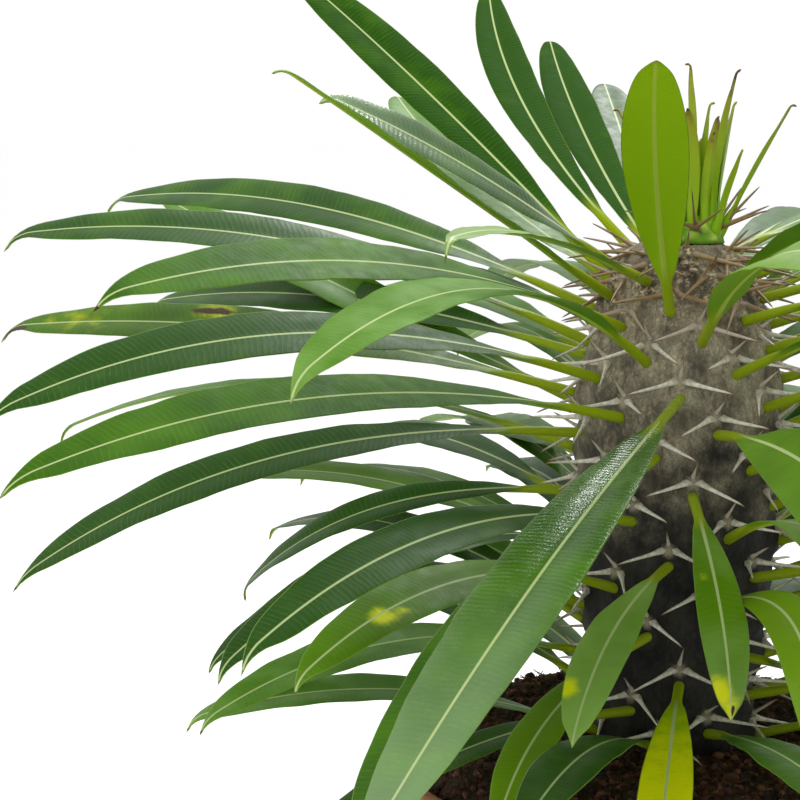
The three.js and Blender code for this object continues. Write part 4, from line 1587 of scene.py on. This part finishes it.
@dataclass
class Trunk:
    """Swollen grey stem with its cushions and spines, mm above the soil."""

    spine_maker: SpineMaker
    finish: Bark = field(default_factory=Bark)
    around: int = 288
    row: float = 1.05
    buried: tuple[float, float] = (-60.0, -30.0)  # rows far below the soil
    below: float = 6.0  # depth at which the fine rows begin
    young_from: tuple[float, float] = (165, 205)  # heights between which the bark is young
    wrinkles: tuple[float, float] = (0.38, 0.7)  # height of the wrinkles low on the trunk and at its top
    wrinkle_size: float = 5.0
    crust: tuple[float, float] = (0.45, 2.4)  # height of the crust low on the trunk and at its top
    crust_size: float = 3.2
    rim_round: float = 2.0
    top_rings: tuple[float, ...] = (0.82, 0.62, 0.4, 0.2)  # each one's radius as a share of the last one's
    top_size: float = 4.0
    top_knob: float = 0.6
    # Degrees aside, degrees of rise, length and its reach for the two long spines and the short one.
    spine_aims: tuple[tuple[float, float, float, float], ...] = (
        (-52, -8, 24, 3), (52, -8, 24, 3), (0, 42, 14, 2))
    spine_stray: float = 8
    spine_above: float = 6.0
    spine_apart: float = 2.6
    spine_below_top: float = 4
    spine_root: float = 1.25
    spine_root_short: float = 0.85  # the short spine's share of that
    spine_young: float = 4.5  # extra length of the topmost long spines
    spine_longer: tuple[float, float] = (8, 26)  # places between which they reach it
    spine_youth: tuple[float, float] = (6, 20)  # places between which spines become young
    spine_youth_short: float = 0.35  # the short spine's least youth
    shoulder: tuple[float, float] = (204, 224)  # band below the crown that carries only young spines
    shoulder_spines: int = 30
    shoulder_bare: frozenset[int] = frozenset({45, 51, 63})  # places where a spine would cross a leaf's stalk
    shoulder_stray: float = 38
    shoulder_rise: tuple[float, float] = (2, 36)
    shoulder_length: tuple[float, float] = (17, 25)
    shoulder_youth: tuple[float, float] = (0.8, 1.2)

    def skin(self, azimuth: float, z: float) -> tuple[float, float, float, float]:
        """Bark surface at a point of the flank.

        Args:
            azimuth: Azimuth, radians.
            z: Height above the soil.

        Returns:
            Radius, and the shares of cushion, knob and hollow there.
        """
        shown = smoothstep(z, 1 - self.below, 1)
        young = smoothstep(z, *self.young_from)
        pad, knob, hollow = (hill(azimuth, z) * shown if z > -self.below else 0.0
                             for hill in (TRUNK.pad, TRUNK.knob, TRUNK.hollow))
        radius = TRUNK.radius(z) + TRUNK.pad_rise * pad + knob * lerp(*TRUNK.knob_rise, young)
        spot = at(radius, azimuth, z) / MM
        wrinkle = noise.fractal(Vector((spot.x, spot.y, spot.z * 0.6)) / self.wrinkle_size, 0.9, 2.1, 4)
        crust = noise.fractal(spot / self.crust_size, 0.7, 2.2, 3) * max(pad, knob)
        radius += shown * (wrinkle * lerp(*self.wrinkles, young) + crust * lerp(*self.crust, young))
        radius -= TRUNK.hollow_depth * hollow
        radius -= self.rim_round * smoothstep(z, TRUNK.top - 2 * self.rim_round, TRUNK.top)
        return radius, pad, knob, hollow

    def surface(self) -> bpy.types.Object:
        """Builds the bark surface with cushions, knobs under the spines and wrinkles.

        Returns:
            The piece, with the attributes trunk_pad, spine_knob and trunk_hollow for its material.
        """
        reach = TRUNK.top + self.below
        fine = round(reach / self.row)
        mesh = bmesh.new()
        rows: list[list[bmesh.types.BMVert]] = []
        marks: list[list[float]] = []
        for z in (*self.buried, *[-self.below + reach * i / fine for i in range(fine + 1)]):
            ring = []
            for j in range(self.around):
                azimuth = 2 * math.pi * j / self.around
                radius, *mark = self.skin(azimuth, z)
                ring.append(mesh.verts.new(at(radius, azimuth, z)))
                marks.append(mark)
            rows.append(ring)
        for inward in self.top_rings:
            ring = []
            for outer in rows[-1]:
                spot = Vector((outer.co.x * inward, outer.co.y * inward, outer.co.z))
                lump = noise.fractal(spot / MM / self.top_size, 0.8, 2.2, 3) - 0.4
                spot.z += self.crust[1] * MM * lump * (1 - inward)
                ring.append(mesh.verts.new(spot))
            rows.append(ring)
            marks += [[1.0, self.top_knob, 0.0]] * self.around
        for low, high in zip(rows, rows[1:]):
            for j in range(self.around):
                k = (j + 1) % self.around
                mesh.faces.new((low[j], low[k], high[k], high[j]))
        for ring in (rows[0], rows[-1]):
            hub = mesh.verts.new(sum((v.co for v in ring), Vector()) / len(ring))
            marks.append([0.0, 0.0, 0.0])
            for j in range(self.around):
                mesh.faces.new((ring[j], ring[(j + 1) % self.around], hub))
        piece = finished("trunk_bark", mesh)
        for name, values in zip(("trunk_pad", "spine_knob", "trunk_hollow"), zip(*marks)):
            set_attribute(piece.data, name, values)
        self.finish.dress(piece)
        return piece

    def spine_set(self, n: int) -> list[Spine]:
        """Sets the three spines above a leaf: two long ones aside and a short one upwards.

        Args:
            n: Place on the spiral.

        Returns:
            The spines.
        """
        azimuth = SPIRAL.azimuth(n)
        height = min(SPIRAL.level(n) + self.spine_above, TRUNK.top - self.spine_below_top)
        extra = self.spine_young * smoothstep(n, *self.spine_longer)
        made = []
        for i, (aside, lift, length, reach) in enumerate(self.spine_aims):
            length = length + (extra if aside else 0) + spread(n, 11 + i, reach)
            heading = azimuth + math.radians(aside + spread(n, 14 + i, self.spine_stray))
            pitch = math.radians(lift + spread(n, 17 + i, self.spine_stray))
            way = (aside > 0) - (aside < 0)
            root_azimuth = azimuth + way * self.spine_apart / TRUNK.radius(height)
            root_height = height + (0 if aside else self.spine_apart)
            root = TRUNK.point(root_azimuth, root_height)
            thickness = self.spine_root * (1 if aside else self.spine_root_short)
            youth = max(smoothstep(n, *self.spine_youth), 0.0 if aside else self.spine_youth_short)
            made.append(Spine(root, aim(heading, pitch), length, thickness, youth))
        return made

    def shoulder_spine(self, n: int) -> Spine:
        """Sets a young spine on the shoulder between cushions and crown.

        Args:
            n: Place on the spiral, past the last leaf.

        Returns:
            The spine.
        """
        azimuth, height = SPIRAL.azimuth(n), lerp(*self.shoulder, draw(n, 61))
        root = TRUNK.point(azimuth, height)
        heading = azimuth + math.radians(spread(n, 62, self.shoulder_stray))
        way = aim(heading, math.radians(lerp(*self.shoulder_rise, draw(n, 63))))
        length, youth = lerp(*self.shoulder_length, draw(n, 64)), lerp(*self.shoulder_youth, draw(n, 65))
        return Spine(root, way, length, 1.0, youth)

    def build(self) -> list[bpy.types.Object]:
        """Builds the trunk's surface and all its spines.

        Returns:
            The pieces.
        """
        spines = [s for n in SPIRAL.places() for s in self.spine_set(n)]
        past = range(SPIRAL.last + 1, SPIRAL.last + 1 + self.shoulder_spines)
        spines += [self.shoulder_spine(n) for n in past if n not in self.shoulder_bare]
        return [place(self.surface(), Slot.TRUNK, "trunk"),
                place(self.spine_maker.make("trunk_spines", spines), Slot.TRUNK, "trunk")]


@dataclass
class Foliage:
    """All grown leaves: one piece for each leaf on the front half, one piece for the far half."""

    finish: WaxyLeaf = field(default_factory=WaxyLeaf)
    bare: frozenset[int] = frozenset({-57, -18, 34})  # places without a leaf
    crown_from: int = 30  # from this place up, every leaf is a piece of its own
    marks: dict[int, tuple[Mark, ...]] = field(default_factory=lambda: {
        -21: (Mark(-0.6, 0.88, 8, yellow=1.0), Mark(-0.1, 0.97, 10, yellow=1.0),
              Mark(0.2, 0.95, 2.6, brown=1.0), Mark(-0.55, 0.4, 3, yellow=0.5)),
        -55: (Mark(0.0, 0.7, 90, yellow=0.9),),
        -34: (Mark(-0.85, 0.78, 6, yellow=1.0),),
        -39: (Mark(0.15, 0.74, 6, yellow=1.0), Mark(0.4, 0.70, 4, yellow=0.8)),
        -23: (Mark(0.0, 1.0, 6, yellow=0.6, brown=0.7),),
        -2: (Mark(0.5, 0.965, 9, brown=1.0), Mark(-0.2, 0.86, 26, yellow=0.36),
             Mark(-0.6, 0.62, 13, yellow=0.55), Mark(-0.6, 0.58, 3.4, brown=0.9),
             Mark(-0.66, 0.605, 3.6, brown=0.9), Mark(-0.6, 0.63, 3.4, brown=0.9),
             Mark(-0.56, 0.66, 3.4, brown=0.9)),
        -13: (Mark(0.7, 0.93, 4, yellow=0.5),),
    })

    def far(self, n: int) -> bool:
        """True if the leaf at place n faces backwards below the crown."""
        return n < self.crown_from and math.cos(SPIRAL.azimuth(n)) < 0

    def leaf(self, maker: LeafMaker, n: int) -> bpy.types.Object:
        """Makes one leaf.

        Args:
            maker: Maker of the leaves.
            n: Place on the spiral.

        Returns:
            The leaf, not yet placed.
        """
        azimuth = SPIRAL.azimuth(n)
        habit = LEAF_RULE.habit(n)
        start = TRUNK.point(azimuth, SPIRAL.level(n))
        stations = LEAF_RULE.midrib(start, azimuth, habit, LEAF_RULE.curl_deg * (0.5 + draw(n, 33)))
        return maker.make(f"blade_{n - SPIRAL.first + 1:03d}", stations, habit, n, self.marks.get(n, ()))

    def build(self) -> list[bpy.types.Object]:
        """Builds and dresses every leaf.

        Returns:
            The pieces.
        """
        maker = LeafMaker(self.finish)
        leaves = {n: self.leaf(maker, n) for n in SPIRAL.places() if n not in self.bare}
        made = []
        for n, piece in leaves.items():
            if not self.far(n):
                made.append(place(piece, Slot.LEAF, f"leaf_{n - SPIRAL.first + 1:03d}"))
        back = joined("blades_far_side", [piece for n, piece in leaves.items() if self.far(n)])
        return [*made, place(back, Slot.LEAF, "trunk")]


@dataclass(frozen=True)
class Shoot:
    """One young leaf: azimuth and place on the dome, then how it stands, degrees and millimetres."""

    azimuth: float
    distance: float
    rise: float
    droop: float
    length: float
    width: float
    hook: float = 120.0


@dataclass
class Crown:
    """Growing tip: a small green dome, upright young leaves and young spines, mm."""

    spine_maker: SpineMaker
    radius: float = 12
    height: float = 12
    steps: int = 96
    aside: float = 7
    flank: float = 0.85
    leaf_sink: float = 2
    spine_sets: int = 6
    spine_turn_deg: float = 40
    spine_aims: tuple[tuple[float, float], ...] = ((-35, 20), (35, 25), (0, 50))
    spine_length: float = 25
    spine_root: float = 1.1
    spine_youth: float = 1.3
    knobs: int = 22
    knob_span: float = 1.4  # the last knob's angle above the dome's foot, radians
    knob_reach: float = 2.4
    knob_rise: float = 2.2
    knob_middle: float = 0.6
    knob_above: float = 2.5  # height at which the knobs are fully there
    gap: float = 0.3
    shoots: tuple[Shoot, ...] = (
        Shoot(84, 10, 64, 4, 66, 5), Shoot(-92, 9, 66, 8, 62, 5), Shoot(-80, 3, 97, -3, 54, 6, -110),
        Shoot(150, 6, 80, 4, 50, 5), Shoot(-60, 4, 90, 3, 72, 5, 150), Shoot(70, 6, 85, 9, 70, 5.5, 70),
        Shoot(105, 7, 83, 4, 56, 6, 60), Shoot(-20, 7, 82, 4, 54, 6), Shoot(30, 5, 82, 4, 42, 4.5),
        Shoot(-110, 5, 82, 2, 44, 5), Shoot(175, 4, 84, 2, 38, 4.5), Shoot(60, 9, 72, 2, 38, 4, 20),
        Shoot(-60, 8, 78, 0, 34, 4, 40), Shoot(120, 3, 84, 0, 32, 4, 60),
    )
    skin: GreenTip = field(default_factory=GreenTip)
    young: YoungLeaf = field(default_factory=YoungLeaf)

    def dome_height(self, distance: float) -> float:
        """Height of the dome's surface above its foot at a distance from its axis."""
        return self.height * math.sqrt(max(0.0, 1 - (distance / self.radius) ** 2))

    def beside(self, spot: Vector) -> Vector:
        """Moves a point from the trunk's axis to the dome's own axis."""
        return spot + Vector((self.aside * MM, 0, 0))

    def dome(self) -> bpy.types.Object:
        """Builds the dome with small knobs, the youngest leaf bases.

        Returns:
            The dome, not yet placed.
        """
        foot = SOIL_LEVEL + TRUNK.top + self.gap
        turns = [math.radians(a) for a in (0, 12, 24, 36, 48, 60, 70, 80)]
        flank = [(self.radius * math.cos(a), foot + self.height * math.sin(a)) for a in turns]
        outline = [(0.0, foot), (self.radius / 2, foot), *flank, (0.0, foot + self.height)]
        piece = lathe("crown_tip", outline, self.steps)
        knobs = []
        for vertex in piece.data.vertices:
            p = vertex.co / MM - Vector((0, 0, foot))
            rise = 0.0
            for i in range(self.knobs):
                angle = (i + 0.5) / self.knobs * self.knob_span
                spot = outward(SPIRAL.azimuth(SPIRAL.last + 1 + i)) * self.radius * math.cos(angle)
                spot.z = self.height * math.sin(angle)
                rise = max(rise, math.exp(-(p - spot).length_squared / self.knob_reach ** 2))
            up = smoothstep(p.z, 0.0, self.knob_above)
            vertex.co += p.normalized() * (rise - self.knob_middle) * self.knob_rise * up * MM
            vertex.co = self.beside(vertex.co)
            knobs.append(rise * up)
        set_attribute(piece.data, "trunk_pad", knobs)
        self.skin.dress(piece)
        return piece

    def young_leaf(self, maker: LeafMaker, i: int, shoot: Shoot) -> bpy.types.Object:
        """Makes a young leaf, thin, folded and nearly upright, with a hooked tip.

        Args:
            maker: Maker of the leaves.
            i: Number of the leaf.
            shoot: Where and how it stands.

        Returns:
            The leaf, not yet placed.
        """
        azimuth = math.radians(shoot.azimuth)
        height = TRUNK.top + self.gap + self.dome_height(shoot.distance) - self.leaf_sink
        start = self.beside(at(shoot.distance, azimuth, height))
        habit = Habit(0, 0, shoot.rise, shoot.droop, shoot.length, 0, shoot.width)
        stations = LEAF_RULE.midrib(start, azimuth, habit, shoot.hook)
        place_past = SPIRAL.last + 1 + i
        return maker.make(f"young_{i}", stations, habit, place_past, Fold=0.7, Wave=0.0002, Arch=0.05)

    def spines(self) -> list[Spine]:
        """Sets the young spines on the dome's flank.

        Returns:
            The spines.
        """
        made = []
        for i in range(self.spine_sets):
            azimuth = SPIRAL.azimuth(SPIRAL.last + 1 + i) + math.radians(self.spine_turn_deg)
            distance = self.radius * self.flank
            root = self.beside(at(distance, azimuth, TRUNK.top + self.gap + self.dome_height(distance)))
            for aside, lift in self.spine_aims:
                way = aim(azimuth + math.radians(aside), math.radians(lift))
                made.append(Spine(root, way, self.spine_length, self.spine_root, self.spine_youth))
        return made

    def build(self) -> list[bpy.types.Object]:
        """Builds the dome, the young leaves and the young spines.

        Returns:
            The pieces.
        """
        maker = LeafMaker(self.young, rings=40, columns=17)
        tuft = joined("crown_young_leaves", [self.young_leaf(maker, i, s) for i, s in enumerate(self.shoots)])
        return [place(self.dome(), Slot.CROWN, "crown"), place(tuft, Slot.CROWN, "crown"),
                place(self.spine_maker.make("crown_spines", self.spines()), Slot.CROWN, "crown")]


# ---- Studio ----------------------------------------------------------------------------


@dataclass(frozen=True)
class Lamp:
    """Square soft light: place and width in metres, power in watts."""

    name: str
    spot: tuple[float, float, float]
    size: float
    power: float


@dataclass
class Studio:
    """Plain pale floor, soft light and the camera."""

    floor_size: float = 60.0
    floor_colour: str = "#fafafa"
    floor_roughness: float = 0.9
    lamps: tuple[Lamp, ...] = (
        Lamp("key", (-0.9, -1.2, 1.9), 0.8, 9.0),
        Lamp("sheen", (0.15, 1.25, 1.75), 0.5, 20.0),
    )
    lit: tuple[float, float, float] = (0.0, 0.0, 0.35)  # point that the lamps face
    eye: tuple[float, float, float] = (0.0, -0.9, 0.485)
    yaw_deg: float = 8.05
    pitch_deg: float = -8.3
    focal_px: float = 1990.0
    frame_px: float = 800.0
    sensor_mm: float = 36.0
    sky: float = 1.04

    def floor(self) -> bpy.types.Object:
        """Builds the floor under the pot.

        Returns:
            The floor.
        """
        mesh = bmesh.new()
        bmesh.ops.create_grid(mesh, x_segments=1, y_segments=1, size=self.floor_size / 2)
        piece = finished("floor", mesh)
        material = bpy.data.materials.new("floor_matt_paint")
        material.use_nodes = True
        shader = material.node_tree.nodes["Principled BSDF"]
        shader.inputs["Base Color"].default_value = linear(self.floor_colour)
        shader.inputs["Roughness"].default_value = self.floor_roughness
        piece.data.materials.append(material)
        return piece

    def light(self, lamp: Lamp) -> None:
        """Adds a lamp that faces the plant.

        Args:
            lamp: What it is and where it stands.
        """
        light = bpy.data.lights.new(lamp.name, "AREA")
        light.shape, light.size, light.energy = "SQUARE", lamp.size, lamp.power
        body = bpy.data.objects.new(lamp.name, light)
        body.location = lamp.spot
        body.rotation_euler = (Vector(self.lit) - Vector(lamp.spot)).to_track_quat("-Z", "Y").to_euler()
        bpy.context.scene.collection.objects.link(body)

    def build(self) -> None:
        """Builds floor, world, lights and camera."""
        self.floor()
        world = bpy.data.worlds.new("studio")
        world.use_nodes = True
        world.node_tree.nodes["Background"].inputs["Color"].default_value = (1.0, 1.0, 1.0, 1.0)
        world.node_tree.nodes["Background"].inputs["Strength"].default_value = self.sky
        bpy.context.scene.world = world
        bpy.context.scene.view_settings.view_transform = "Standard"
        for lamp in self.lamps:
            self.light(lamp)
        lens = bpy.data.cameras.new("camera")
        lens.sensor_width = self.sensor_mm
        lens.lens = self.sensor_mm * self.focal_px / self.frame_px
        lens.clip_start, lens.clip_end = 0.01, 100.0
        camera = bpy.data.objects.new("camera", lens)
        camera.location = self.eye
        camera.rotation_euler = (math.radians(90 + self.pitch_deg), 0.0, math.radians(self.yaw_deg))
        bpy.context.scene.collection.objects.link(camera)
        bpy.context.scene.camera = camera


def main() -> None:
    """Builds the studio and every sub-assembly in order."""
    logging.basicConfig(level=logging.INFO, format="%(name)s %(message)s")
    Studio().build()
    spine_maker = SpineMaker()
    pot = Pot()
    pot.build()
    Soil(pot).build()
    Trunk(spine_maker).build()
    Foliage().build()
    Crown(spine_maker).build()


if __name__ == "__main__":
    main()
